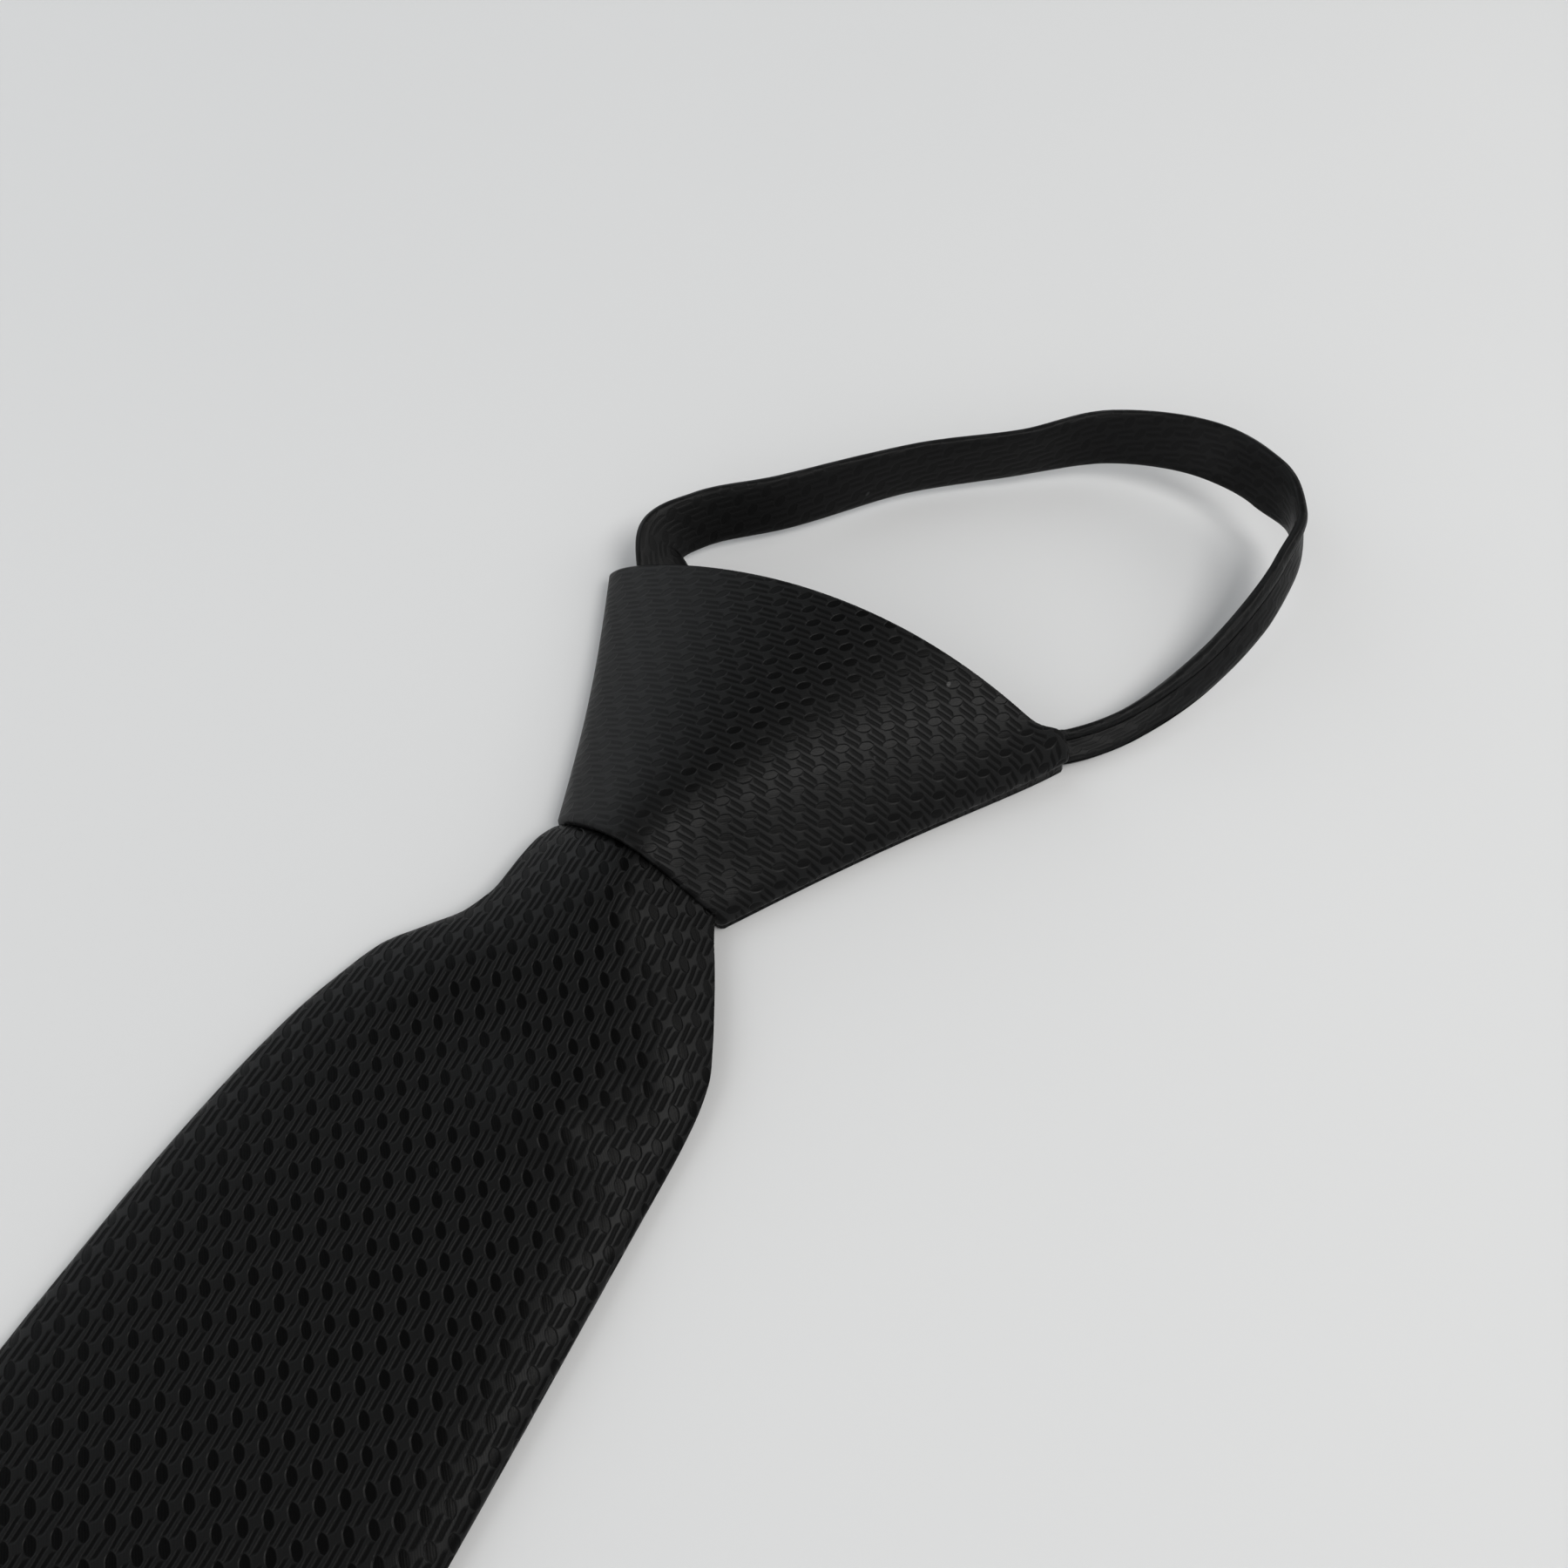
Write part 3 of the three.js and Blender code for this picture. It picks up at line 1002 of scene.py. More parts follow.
@dataclass
class Blade(Piece):
    """The blade: one cloth folded round to meet along the middle of its back."""

    tie: TieFrame
    zip: Zip
    length: float = 440.0
    half_width: float = 40.0
    upper_half_width: float = 38.0
    thickness: float = 5.6
    spread_run: float = 110.0
    tip_run: float = 40.0
    tip_half_width: float = 0.9
    tip_thickness: float = 4.2
    slit: float = 0.5
    slit_share: float = 0.2
    wall: float = 1.2
    wall_share: float = 0.36
    fold_share: float = 0.2
    inset: float = 2.0
    inset_share: float = 0.4
    nose_shares: tuple[float, float] = (0.16, 0.38)
    nose_rate: float = 6.0
    left_power: float = 2.0
    flat_power: float = 6.0
    flat_fall: float = 0.45
    curl_start: float = 0.6
    curl_power: int = 3
    zip_gap: float = 0.3
    zip_marks: tuple[float, ...] = (0.0, 3.0, 11.6, 18.7)
    neck_tuck: float = 13.0
    neck_base: float = 3.3
    neck_crown: float = 12.4
    neck_left: float = 11.1
    neck_right: float = 18.7
    right_power: float = 1.45
    neck_step: float = 1.0
    step: float = 2.0
    tip_rows: int = 36
    face_columns: int = 36
    back_columns: int = 20
    offset: tuple[float, float] = (0.0, 0.0)
    rows: tuple[SpreadRow, ...] = (
        SpreadRow(-0.012, 0.03, 0.03, 1.0, 1.0, 0.0),
        SpreadRow(0.012, 0.12, 0.1, 1.0, 0.99, 0.0),
        SpreadRow(0.045, 0.17, 0.2, 0.99, 0.92, 0.02),
        SpreadRow(0.09, 0.19, 0.36, 0.92, 0.75, 0.06),
        SpreadRow(0.145, 0.2, 0.54, 0.8, 0.55, 0.12),
        SpreadRow(0.2, 0.27, 0.71, 0.68, 0.36, 0.22),
        SpreadRow(0.255, 0.44, 0.85, 0.5, 0.2, 0.36),
        SpreadRow(0.32, 0.64, 0.91, 0.3, 0.08, 0.55),
        SpreadRow(0.39, 0.745, 0.93, 0.15, 0.0, 0.74),
        SpreadRow(0.49, 0.845, 0.94, 0.1, 0.0, 0.9),
        SpreadRow(0.64, 0.92, 0.96, 0.17, 0.0, 1.0),
        SpreadRow(0.8, 0.97, 0.98, 0.1, 0.0, 1.0),
        SpreadRow(1.0, 1.0, 1.0, 0.0, 0.0, 1.0),
    )
    puffs: tuple[Puff, ...] = (
        Puff(5, -8, 10, 6, 0, 1.0),
        Puff(14, -46, 12, 7, 0, 2.4),
        Puff(28, -36, 9, 3, 0, -0.5),
        Puff(-17, -38, 6, 12, -35, 0.7),
        Puff(27, -28, 4, 10, 25, 0.5),
    )

    def stations(self) -> np.ndarray:
        """Where the blade has a row of points.

        Returns:
            Distances below the lip, from inside the knot to the point.
        """
        shoulder = self.length - self.tip_run
        neck = np.arange(-self.neck_tuck, self.spread_run, self.neck_step)
        body = np.arange(self.spread_run, shoulder, self.step)
        tip = np.linspace(shoulder, self.length, self.tip_rows)
        return np.concatenate([neck, body, tip])

    def build(self) -> bpy.types.Object:
        """Builds and dresses the blade.

        Returns:
            The blade.
        """
        outer, inner, cloth = zip(*[self.section(down) for down in self.stations()])
        points, faces = folded_strip(np.array(outer), np.array(inner))
        weave = Weave().repeats(both_faces(np.array(cloth)), Grain.BLADE, self.offset)
        made = make_mesh("blade_cloth", self.tie.place(points), faces, weave)
        self.settle(made, JacquardLook().dress("blade_jacquard"), "blade", "blade_cloth")
        return made

    def size_at(self, down: float) -> BladeSize:
        """Sizes of one section.

        Args:
            down: distance below the lip.

        Returns:
            The sizes.
        """
        share = np.clip(down / self.spread_run, self.rows[0].down, self.rows[-1].down)
        marks = [row.down for row in self.rows]
        left, right, crown, base, flat = (
            float(smooth_table(share, marks, [getattr(row, name) for row in self.rows]))
            for name in ("left", "right", "crown", "base", "flat")
        )
        shoulder = self.length - self.tip_run
        growth = max(0.0, down - self.spread_run) / (shoulder - self.spread_run)
        side = mix(self.upper_half_width, self.half_width, min(1.0, growth))
        point = max(0.0, down - shoulder) / self.tip_run
        return BladeSize(
            left=mix(mix(self.neck_left, side, left), self.tip_half_width, point),
            right=mix(mix(self.neck_right, side, right), self.tip_half_width, point),
            crown=mix(mix(self.thickness, self.neck_crown, crown), self.tip_thickness, point),
            base=self.neck_base * base,
            flat=flat,
        )

    def section(self, down: float) -> tuple[np.ndarray, np.ndarray, np.ndarray]:
        """One section of the blade.

        Args:
            down: distance below the lip.

        Returns:
            Points of the outer face, of the inner face and on the flat cloth, edge to edge.
        """
        size = self.size_at(down)
        middle = size.middle
        half = size.half
        nose_share = mix(*self.nose_shares, min(1.0, size.flat * self.nose_rate))
        nose = mix(size.base, size.crown, nose_share)
        wall = min(self.wall, (size.crown - size.base) * self.wall_share)
        inset = min(self.inset, half * self.inset_share)
        x_face, z_face = self.face(down, size, nose)
        x_right, z_right = self.back(1, down, size, nose)
        x_left, z_left = self.back(-1, down, size, nose)
        x = np.concatenate([x_right, x_face, x_left[::-1]])
        z = np.concatenate([z_right, z_face, z_left[::-1]])
        n = self.back_columns
        lift = np.full(len(x), wall)
        lift[n:-n] = -wall
        lift[n] = lift[-n - 1] = wall * self.fold_share
        by_seam = (np.abs(x - middle) < half / 2) & (lift == wall)
        inner_x = np.where(by_seam, x, middle + (x - middle) * (half - inset) / half)
        y = np.full_like(x, -down)
        outer = np.stack([x, y, z], axis=-1)
        inner = np.stack([inner_x, y, z + lift], axis=-1)
        along = run_along(outer)
        cloth = np.stack([middle - (along - along[n + self.face_columns]), y], axis=-1)
        return outer, inner, cloth

    def face(self, down: float, size: BladeSize, nose: float) -> tuple[np.ndarray, np.ndarray]:
        """The section's face, from its right fold to its left one.

        Args:
            down: distance below the lip.
            size: the section's sizes.
            nose: height of the folds.

        Returns:
            Places across the tie, and heights.
        """
        count = 2 * self.face_columns + 1
        power = np.full(count, mix(self.left_power, self.flat_power, size.flat))
        power[:self.face_columns] = mix(self.right_power, self.flat_power, size.flat)
        across = np.sin(np.linspace(-1, 1, count)[::-1] * math.pi / 2)
        arch = np.clip(1 - np.abs(across) ** power, 0, 1) ** mix(1.0, self.flat_fall, size.flat)
        x = size.middle + across * size.half
        lift = sum((puff.at(x, -down) for puff in self.puffs), np.zeros_like(x))
        return x, nose + (size.crown - nose + lift) * arch

    def back(
        self, sign: int, down: float, size: BladeSize, nose: float
    ) -> tuple[np.ndarray, np.ndarray]:
        """One half of the section's back, from the slit over the zip out to the fold.

        Args:
            sign: 1 for the right half, -1 for the left one.
            down: distance below the lip.
            size: the section's sizes.
            nose: height of the folds.

        Returns:
            Places across the tie, and heights.
        """
        half = size.half
        base = size.base
        seam = min(max(self.zip.seam(down) - size.middle, -half / 2), half / 2)
        start = seam + sign * min(self.slit / 2, half * self.slit_share)
        share = np.sin(np.linspace(0, 1, self.back_columns, endpoint=False) * math.pi / 2)
        x = start + (sign * half - start) * share
        curl = np.clip((np.abs(x) / half - self.curl_start) / (1 - self.curl_start), 0, 1)
        z = nose - (nose - base) * np.sqrt(1 - curl**self.curl_power)
        span = 1 - ease(down, self.zip.tail, self.zip.tail + self.zip.drop)
        seat = self.zip.seat_at(down) + self.zip_gap
        coil = max(base, (seat + self.zip.coil_height) * span) - base
        tape = max(base, (seat + self.zip.tape_thickness) * span) - base
        lift = smooth_table(np.abs(x - seam), self.zip_marks, [coil, coil, tape, 0.0])
        return size.middle + x, z + lift


@dataclass
class Knot(Piece):
    """The ready-made knot: a flaring sleeve of cloth with an arched face."""

    tie: TieFrame
    lip_half_width: float = 18.8
    lip_shift: float = 3.8
    lip_tilt: float = 1.0
    lip_rise: float = 11.6
    lip_fold: float = 2.6
    left_reach: float = 37.0
    left_run: float = 53.0
    right_reach: float = 63.5
    right_run: float = 59.6
    top_rise: float = 16.8
    top_folds: tuple[float, float] = (3.0, 5.4)
    tab: float = 3.4
    tab_middle: float = 0.965
    tab_width: float = 0.035
    tab_power: int = 12
    top_bow: float = 4.5
    belly: float = 0.8
    waist: float = 1.2
    low_fold: float = 0.8
    fold_power: int = 4
    tuck: float = 0.8
    tuck_share: float = 0.35
    back_curl: float = 60.0
    face_power: float = 0.6
    wall: float = 1.3
    inset: float = 2.1
    roll: float = 0.7
    roll_turns: tuple[float, ...] = (45.0, 90.0, 135.0)
    left_clarity: float = 0.45
    flank_lean: float = 0.2
    flank_start: float = -5.0
    flank_run: float = 14.0
    weave: Weave = Weave(eye_pitch=3.15, shear=0.2, tilt=0.1)
    # The knot's cloth is a lighter copy of the blade's jacquard: painted light for the brighter sheen
    # of its turned satin floats.
    look: JacquardLook = JacquardLook(
        ribbon=0.004, eye=0.0115, slit=0.0095, specular=0.155, relief=0.00009
    )
    rows: int = 64
    face_columns: int = 80
    back_columns: int = 40
    offset: tuple[float, float] = (0.0, 0.0)
    puffs: tuple[Puff, ...] = (
        Puff(33, 20, 11, 24, -36, -3.6),
        Puff(19, 4, 9.5, 10, -33, -2.7),
        Puff(-3, 5, 8, 10, -20, 0.9),
    )

    def plan(self, across: np.ndarray, up: float) -> tuple[np.ndarray, np.ndarray]:
        """Points of the sleeve in plan.

        Args:
            across: 0 to 1 from left to right.
            up: 0 to 1 from the lip to the top.

        Returns:
            Their x and their y.
        """
        waist = self.waist * math.sin(math.pi * up)
        x0 = mix(self.lip_shift - self.lip_half_width, -self.left_reach, up) + waist
        x1 = mix(self.lip_shift + self.lip_half_width, self.right_reach, up) - waist
        y0 = mix(self.lip_tilt, self.left_run, up)
        y1 = mix(-self.lip_tilt, self.right_run, up)
        bow = self.top_bow * up * up * np.sin(math.pi * across)
        tab = np.exp(-((across - self.tab_middle) / self.tab_width) ** 2)
        bow = bow + self.tab * up**self.tab_power * tab
        return mix(x0, x1, across), mix(y0, y1, across) + bow

    def fold(self, across: np.ndarray, up: float) -> np.ndarray:
        """Height of the side folds, carried across.

        Args:
            across: 0 to 1 from left to right.
            up: 0 to 1 from the lip to the top.

        Returns:
            The heights.
        """
        left = mix(self.lip_fold, self.top_folds[0], up)
        right = mix(self.lip_fold, self.top_folds[1], up**self.fold_power)
        return mix(left, right, across)

    def face(self, across: np.ndarray, up: float) -> np.ndarray:
        """Height of the face.

        Args:
            across: 0 to 1 from left to right.
            up: 0 to 1 from the lip to the top.

        Returns:
            The heights.
        """
        fold = self.fold(across, up)
        rise = mix(self.lip_rise, self.top_rise, up) + self.belly * math.sin(math.pi * up)
        arch = np.clip(np.sin(math.pi * across), 0, 1) ** self.face_power
        x, y = self.plan(across, up)
        lift = sum((puff.at(x, y) for puff in self.puffs), np.zeros_like(arch))
        return fold + (rise + lift) * arch

    def ring(self, up: float, wall: float, inset: float) -> np.ndarray:
        """One section, with its cloth drawn in by wall and its folds by inset.

        Args:
            up: share of the way from the lip to the top.
            wall: how far in from the outer face.
            inset: how far in from the folds.

        Returns:
            Columns x 3 points, over the face from left to right and back along the back.
        """
        x_ends, y_ends = self.plan(np.array([0.0, 1.0]), up)
        width = float(np.hypot(np.diff(x_ends), np.diff(y_ends))[0])
        edge = inset / width
        tuck = self.tuck / width
        across = (1 - np.cos(np.linspace(0, math.pi, self.face_columns))) / 2
        back = (1 + np.cos(np.linspace(0, math.pi, self.back_columns + 2)[1:-1])) / 2
        low = max(self.low_fold, wall)
        curl = np.clip(1 - np.minimum(back, 1 - back) * self.back_curl, 0, 1)
        back_z = wall + (low - wall) * curl**2
        ends = self.fold(np.array([0.0, 1.0]), up)
        left_low, right_low = low + (ends - low) * self.tuck_share
        shares = np.concatenate([[tuck], across, [1 - tuck], back])
        heights = np.concatenate([[left_low], self.face(across, up) - wall, [right_low], back_z])
        x, y = self.plan(mix(edge, 1 - edge, shares), up)
        return np.stack([x, y, heights], axis=-1)

    def build(self) -> bpy.types.Object:
        """Builds and dresses the knot.

        Returns:
            The knot.
        """
        rounded = (1 - np.cos(np.linspace(0, math.pi, self.rows))) / 2
        ups = (rounded + np.linspace(0, 1, self.rows)) / 2
        outer = np.array([self.ring(up, 0.0, 0.0) for up in ups])
        inner = np.array([self.ring(up, self.wall, self.inset) for up in ups])
        lip = self.rolled(inner[0], outer[0], outer[0] - outer[1])
        top = self.rolled(outer[-1], inner[-1], outer[-1] - outer[-2])
        grid = np.concatenate([outer, top, inner[::-1], lip])
        points = self.tie.place(grid.reshape(-1, 3))
        made = make_mesh("knot_cloth", points, ring_band(grid), self.woven(outer, grid))
        # the knot's jacquard, painted lighter than the blade's for its satin's sheen
        self.settle(made, self.look.dress("knot_jacquard_painted_lighter"), "knot_wrap", "knot_cloth")
        return made

    def woven(self, outer: np.ndarray, grid: np.ndarray) -> np.ndarray:
        """Places in the weave; the pattern fades on the left flank, where light washes it out.

        Args:
            outer: rows of the outer face.
            grid: all rows: outer face, rolled top, inner face and rolled lip.

        Returns:
            What make_mesh takes as the weave.
        """
        flat = np.array([self.cloth(row) for row in outer])
        top = np.repeat(flat[-1:], len(self.roll_turns), 0)
        lip = np.repeat(flat[:1], len(self.roll_turns), 0)
        flat = np.concatenate([flat, top, flat[::-1], lip]).reshape(-1, 2)
        flank = grid[..., 0] + grid[..., 1] * self.flank_lean - self.flank_start
        shown = mix(self.left_clarity, 1.0, np.clip(flank / self.flank_run, 0, 1))
        return self.weave.repeats(flat, Grain.KNOT, self.offset, shown.ravel())

    def rolled(self, start: np.ndarray, end: np.ndarray, ahead: np.ndarray) -> np.ndarray:
        """Rows that carry the cloth round an edge.

        Args:
            start: the row that the roll starts from.
            end: the row that it comes back to.
            ahead: direction past the edge at each column.

        Returns:
            The rows between them.
        """
        middle = (start + end) / 2
        reach = np.linalg.norm(start - end, axis=-1, keepdims=True) / 2
        ahead = ahead / np.linalg.norm(ahead, axis=-1, keepdims=True) * np.minimum(reach, self.roll)
        turns = np.radians(self.roll_turns)
        return np.array([
            middle + (start - middle) * math.cos(turn) + ahead * math.sin(turn) for turn in turns
        ])

    def cloth(self, row: np.ndarray) -> np.ndarray:
        """Places on the flat cloth of a section's points.

        Args:
            row: the section, its face first.

        Returns:
            Columns x 2 points: the section unrolled along its own line in plan.
        """
        face = row[1:self.face_columns + 1]
        line = face[-1, :2] - face[0, :2]
        line = line / np.linalg.norm(line)
        along = run_along(row)
        middle = 1 + self.face_columns // 2
        return row[middle, :2] + (along - along[middle])[:, None] * line


@dataclass(frozen=True)
class BandRow:
    """One knot of the band's route, in the shares that the CAD's table has."""

    across: float
    along: float
    high: float
    lean: float
    width: float
    thick: float = 1.0
    ridge: float = NO_RIDGE


@dataclass(frozen=True)
class BandSpot:
    """The strip at one place: its middle, directions of breadth and face, and its sizes.

    outside is the sign of its breadth away from the loop; ridge is where its fall starts.
    """

    centre: np.ndarray
    broad: np.ndarray
    face: np.ndarray
    outside: float
    width: float
    thick: float
    ridge: float


@dataclass
class NeckBand(Piece):
    """The neck band: a folded strip in a whole loop, with both ends in the knot."""

    tie: TieFrame
    knot: Knot
    width: float = 12.0
    thickness: float = 2.6
    reach: float = 81.0
    spread: float = 86.0
    lift: float = 14.6
    mouth_lift: float = 1.0
    seat: float = 1.8
    neck_tuck: float = 13.0
    slider_length: float = 9.0
    gap: float = 0.3
    wall: float = 0.8
    edge_wall: float = 1.3
    edge_power: float = 0.5
    face_power: float = 0.6
    ridge_drop: float = 0.9
    seam_turn: float = 276.0
    seam_gap: float = 0.6
    seam_depth: float = 0.45
    seam_shoulder: float = 0.08
    look: JacquardLook = JacquardLook(ribbon=0.004, specular=0.14, clarity=0.35)
    offset: tuple[float, float] = (0.3, 0.2)
    stations: int = 360
    sides: int = 36
    rows: tuple[BandRow, ...] = (
        BandRow(-0.358, 0.13, 0.49, 46, 1.0),
        BandRow(-0.31, 0.245, 0.51, 58, 1.0),
        BandRow(-0.165, 0.4, 0.54, 62, 1.0),
        BandRow(0.062, 0.678, 0.575, 76, 1.0),
        BandRow(0.271, 0.865, 0.64, 80, 1.0),
        BandRow(0.458, 1.036, 0.75, 64, 1.0),
        BandRow(0.69, 1.11, 0.89, 58, 1.0),
        BandRow(0.859, 1.067, 1.0, 76, 1.0),
        BandRow(0.965, 0.98, 1.0, 104, 0.92),
        BandRow(0.985, 0.836, 0.82, 122, 0.8, 1.0, 1.75),
        BandRow(0.94, 0.55, 0.5, 140, 0.7, 1.1, -0.05),
        BandRow(0.83, 0.285, 0.32, 155, 0.56, 1.4, -1.6),
        BandRow(0.725, 0.15, 0.27, 165, 0.56, 1.5, -1.6),
    )

    @property
    def rest(self) -> float:
        """Height of the strip's middle where it lies on the zip's level."""
        return self.seat + self.thickness / 2

    def inside(
        self, across: float, up: float, width: float, lean: float, lift: float = 0.0
    ) -> list[float]:
        """One knot of the route in the knot's sleeve.

        Args:
            across: 0 to 1 over the sleeve, from left to right.
            up: 0 to 1 from the lip to the top.
            width: share of the strip's width.
            lean: the strip's lean in degrees.
            lift: height over its rest.

        Returns:
            x, y, z, lean, width, thickness and ridge.
        """
        x, y = self.knot.plan(np.array(across), up)
        return [float(x), float(y), self.rest + lift, lean, width, 1.0, NO_RIDGE]

    def meet(self, sign: int, ahead: float, lean: float) -> list[float]:
        """One knot of the route over the slider, where the strip's ends meet.

        Args:
            sign: -1 for the left end, 1 for the right one.
            ahead: distance up from the end.
            lean: the strip's lean in degrees.

        Returns:
            x, y, z, lean, width, thickness and ridge.
        """
        x = self.knot.lip_shift + sign * (self.width / 2 + self.gap)
        y = self.neck_tuck + self.slider_length + self.gap * 3
        return [x, y + ahead, self.rest, lean, 1.0, 1.0, NO_RIDGE]

    def free(self, row: BandRow) -> list[float]:
        """One knot of the route outside the sleeve.

        Args:
            row: its row of the table.

        Returns:
            x, y, z, lean, width, thickness and ridge.
        """
        x = row.across * self.spread
        y = self.knot.left_run + row.along * self.reach
        return [x, y, row.high * self.lift, row.lean, row.width, row.thick, row.ridge]

    def route(self) -> np.ndarray:
        """The strip's route, from its left end round the loop to its right end.

        Returns:
            Knots x 7: x, y, z, lean, width, thickness and ridge of each.
        """
        return np.array([
            self.meet(-1, 0, 0),
            self.meet(-1, self.width * 0.8, 0),
            self.inside(0.2, 0.78, 1, 0),
            self.inside(0.13, 1, 1, 10, self.mouth_lift),
            *[self.free(row) for row in self.rows],
            self.inside(0.93, 1, 0.58, 170),
            self.inside(0.89, 0.8, 0.66, 180),
            self.meet(1, self.width * 0.8, 180),
            self.meet(1, 0, 180),
        ])

    def curve(self, knots: np.ndarray, t: float) -> tuple[np.ndarray, np.ndarray]:
        """A centripetal curve through the knots.

        Args:
            knots: the points it goes through.
            t: 0 to 1 along it.

        Returns:
            The point and the direction there.
        """
        ends = np.concatenate([[2 * knots[0] - knots[1]], knots, [2 * knots[-1] - knots[-2]]])
        place = t * (len(knots) - 1)
        i = min(len(knots) - 2, int(place))
        share = place - i
        p0, p1, p2, p3 = ends[i:i + 4]
        d0, d1, d2 = (math.sqrt(np.linalg.norm(b - a)) for a, b in ((p0, p1), (p1, p2), (p2, p3)))
        m1 = ((p1 - p0) / d0 - (p2 - p0) / (d0 + d1) + (p2 - p1) / d1) * d1
        m2 = ((p2 - p1) / d1 - (p3 - p1) / (d1 + d2) + (p3 - p2) / d2) * d1
        c2 = -3 * p1 + 3 * p2 - 2 * m1 - m2
        c3 = 2 * p1 - 2 * p2 + m1 + m2
        point = p1 + m1 * share + c2 * share**2 + c3 * share**3
        ahead = m1 + 2 * c2 * share + 3 * c3 * share**2
        return point, ahead / np.linalg.norm(ahead)

    def outline(self) -> tuple[np.ndarray, np.ndarray]:
        """The folded strip's section.

        Returns:
            Its outer and its inner line, from seam edge to seam edge.
        """
        spread = np.linspace(self.seam_gap, 360 - self.seam_gap, self.sides)
        turn = np.radians(self.seam_turn + spread)
        across = np.sign(np.cos(turn)) * np.abs(np.cos(turn)) ** self.edge_power
        through = np.sign(np.sin(turn)) * np.abs(np.sin(turn)) ** self.face_power
        outer = np.stack([across / 2 * self.width, through / 2 * self.thickness], axis=-1)
        outer[[0, -1], 1] += self.seam_depth
        outer[[1, -2], 1] += self.seam_shoulder
        shrink = 1 - 2 * self.wall * np.array([self.edge_wall / self.width, 1 / self.thickness])
        return outer, outer * shrink

    def spot(self, knots: np.ndarray, t: float) -> BandSpot:
        """The strip at one place of its route.

        Args:
            knots: the route's knots.
            t: 0 to 1 along it.

        Returns:
            Its place, directions and sizes.
        """
        place = t * (len(knots) - 1)
        step = min(len(knots) - 2, int(place))
        low = knots[step]
        high = knots[step + 1]
        lean, width, thick = mix(low[3:6], high[3:6], ease(place - step, 0, 1))
        centre, ahead = self.curve(knots[:, :3], t)
        outward = np.array([-ahead[1], ahead[0], 0.0])
        outward /= np.linalg.norm(outward)
        upward = -np.cross(ahead, outward)
        upward *= np.sign(upward[2])
        turn = math.radians(lean)
        broad = outward * math.cos(turn) + upward * math.sin(turn)
        return BandSpot(
            centre=centre,
            broad=broad,
            face=np.cross(ahead, broad),
            outside=float(np.sign(broad @ outward)),
            width=width,
            thick=thick,
            ridge=mix(low[6], high[6], place - step),
        )

    def section(
        self, spot: BandSpot, outline: np.ndarray, inline: np.ndarray
    ) -> tuple[np.ndarray, np.ndarray]:
        """One section of the strip, whose upper face falls away past its ridge.

        Args:
            spot: where it lies.
            outline: the section's outer line.
            inline: its inner line.

        Returns:
            Points of both lines in the tie's frame.
        """
        side = np.sign(spot.face[2])
        reach = outline[:, 0] / (self.width / 2) * spot.outside
        upper = outline[:, 1] * side > 0
        drop = np.clip(reach - spot.ridge, 0, 2) * self.ridge_drop * upper * side
        outer, inner = (
            spot.centre
            + line[:, :1] * spot.width * spot.broad
            + (line[:, 1] * spot.thick - drop)[:, None] * spot.face
            for line in (outline, inline)
        )
        return outer, inner

    def build(self) -> bpy.types.Object:
        """Builds and dresses the band.

        Returns:
            The band.
        """
        knots = self.route()
        outline, inline = self.outline()
        spots = [self.spot(knots, i / self.stations) for i in range(self.stations + 1)]
        outer, inner = zip(*[self.section(spot, outline, inline) for spot in spots])
        points, faces = folded_strip(np.array(outer), np.array(inner))
        girth = run_along(outline)
        gone = run_along(np.array([spot.centre for spot in spots]))
        cloth = both_faces(np.stack(np.meshgrid(girth, gone), axis=-1))
        weave = Weave().repeats(cloth, Grain.BAND, self.offset)
        made = make_mesh("neck_band_cloth", self.tie.place(points), faces, weave)
        self.settle(made, self.look.dress("band_jacquard"), "neck_band", "band_cloth")
        log.info("band length %.0f mm, girth %.1f mm", gone[-1], girth[-1])
        return made


# The stage


@dataclass(frozen=True)
class Lamp:
    """A soft square light: its place and target in the tie's frame, side in metres, watts."""

    name: str
    place: tuple[float, float, float]
    target: tuple[float, float, float]
    size: float
    power: float
    colour: tuple[float, float, float]


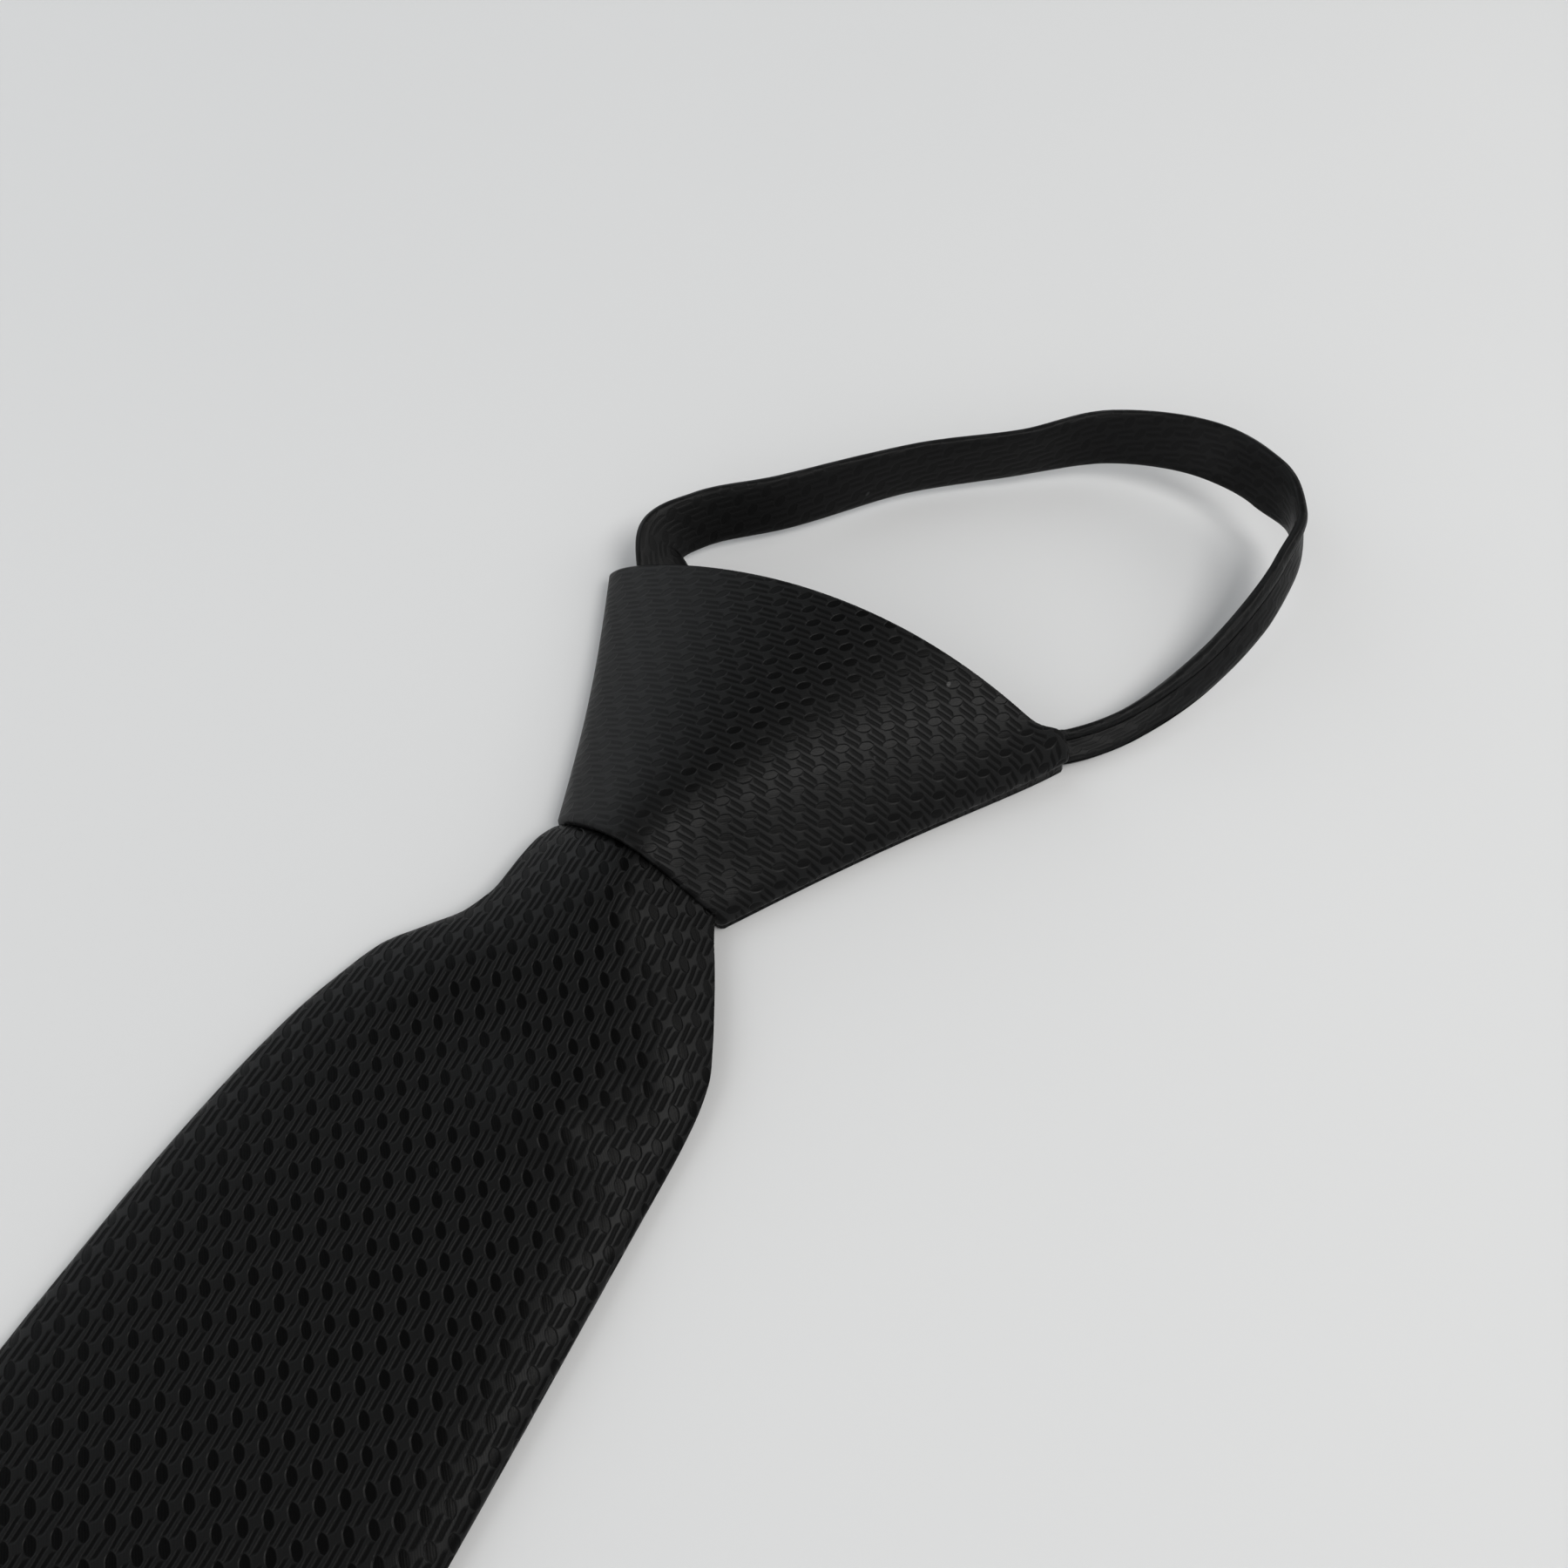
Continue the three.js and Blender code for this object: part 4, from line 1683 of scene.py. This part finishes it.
@dataclass
class Studio:
    """Pale table, soft light and the photo's camera."""

    tie: TieFrame
    position: tuple[float, float, float] = (61.46, -72.84, 219.74)
    view: tuple[float, float, float] = (-0.179, 0.4197, -0.8898)
    right: tuple[float, float, float] = (0.8719, 0.4866, 0.0542)
    lens: float = 29.06
    sensor: float = 36.0
    clip_start: float = 0.01
    sky: tuple[float, float, float, float] = (0.97, 0.985, 1.0, 1.0)
    horizon: float = 0.9
    zenith: float = 0.1
    zenith_rise: float = 0.8
    table_half: float = 3.0
    table_drop: float = 0.0001
    lamps: tuple[Lamp, ...] = (
        Lamp("window", (-1250, 150, 950), (0, 20, 0), 1.7, 10.0, (0.93, 0.97, 1.0)),
        Lamp("ceiling", (690, 20, 1210), (20, 20, 0), 0.65, 8.0, (1.0, 0.99, 0.97)),
        Lamp("door", (720, 880, 900), (20, 20, 0), 0.9, 5.0, (1.0, 0.99, 0.97)),
        Lamp("fill", (-200, -1150, 850), (20, 0, 0), 1.2, 4.0, (1.0, 0.995, 0.985)),
    )

    def build(self) -> None:
        """Builds the table, the lights and the camera, in the plain sRGB view."""
        self.table()
        for lamp in self.lamps:
            self.light(lamp)
        self.room()
        self.camera()
        bpy.context.scene.view_settings.view_transform = "Standard"

    def room(self) -> None:
        """The room's own light, which fades from the horizon to the zenith."""
        world = bpy.data.worlds.new("room")
        world.use_nodes = True
        nodes = Nodes(world.node_tree)
        place = nodes.node("ShaderNodeTexCoord").outputs["Generated"]
        split = nodes.node("ShaderNodeSeparateXYZ", {}, {0: place})
        ends = {"From Max": self.zenith_rise, "To Min": self.horizon, "To Max": self.zenith}
        fall = nodes.node("ShaderNodeMapRange", {}, {"Value": split.outputs["Z"], **ends})
        background = nodes.tree.nodes["Background"]
        nodes.feed(background.inputs["Color"], self.sky)
        nodes.feed(background.inputs["Strength"], fall.outputs["Result"])
        bpy.context.scene.world = world

    def table(self) -> None:
        """The table top, a hair under the tie."""
        corners = np.array([[-1, -1, 0], [1, -1, 0], [1, 1, 0], [-1, 1, 0]]) * self.table_half
        made = make_mesh("stage_table", corners, [[0, 1, 2, 3]])
        made.location.z = -self.table_drop
        made.data.materials.append(TableLook().dress("table_top"))

    def light(self, lamp: Lamp) -> None:
        """Adds one light.

        Args:
            lamp: what and where it is.
        """
        light = bpy.data.lights.new(lamp.name, "AREA")
        light.size = lamp.size
        light.energy = lamp.power
        light.color = lamp.colour
        made = bpy.data.objects.new(lamp.name, light)
        start = Vector(self.tie.place(np.array(lamp.place, float)))
        end = Vector(self.tie.place(np.array(lamp.target, float)))
        made.location = start
        made.rotation_euler = (end - start).to_track_quat("-Z", "Y").to_euler()
        bpy.context.scene.collection.objects.link(made)

    def camera(self) -> None:
        """The photo's camera, set up from its place, its line of sight and its right."""
        lens = bpy.data.cameras.new("photo_camera")
        lens.sensor_width = self.sensor
        lens.lens = self.lens
        lens.clip_start = self.clip_start
        made = bpy.data.objects.new("photo_camera", lens)
        back = -Vector(self.view).normalized()
        right = Vector(self.right)
        right = (right - back * right.dot(back)).normalized()
        turn = Matrix((right, back.cross(right), back)).transposed().to_4x4()
        place = Vector(self.tie.place(np.array(self.position)))
        made.matrix_world = Matrix.Translation(place) @ turn
        bpy.context.scene.collection.objects.link(made)
        bpy.context.scene.camera = made


def main() -> None:
    """Builds the stage and the tie's pieces."""
    logging.basicConfig(level=logging.INFO, format="%(message)s")
    tie = TieFrame.of_blade(Blade.length)
    Studio(tie).build()
    closing = Zip(tie)
    knot = Knot(tie)
    builds: tuple[Callable[[], object], ...] = (
        closing.build,
        Blade(tie, closing).build,
        knot.build,
        NeckBand(tie, knot).build,
    )
    for build in builds:
        build()


if __name__ == "__main__":
    main()
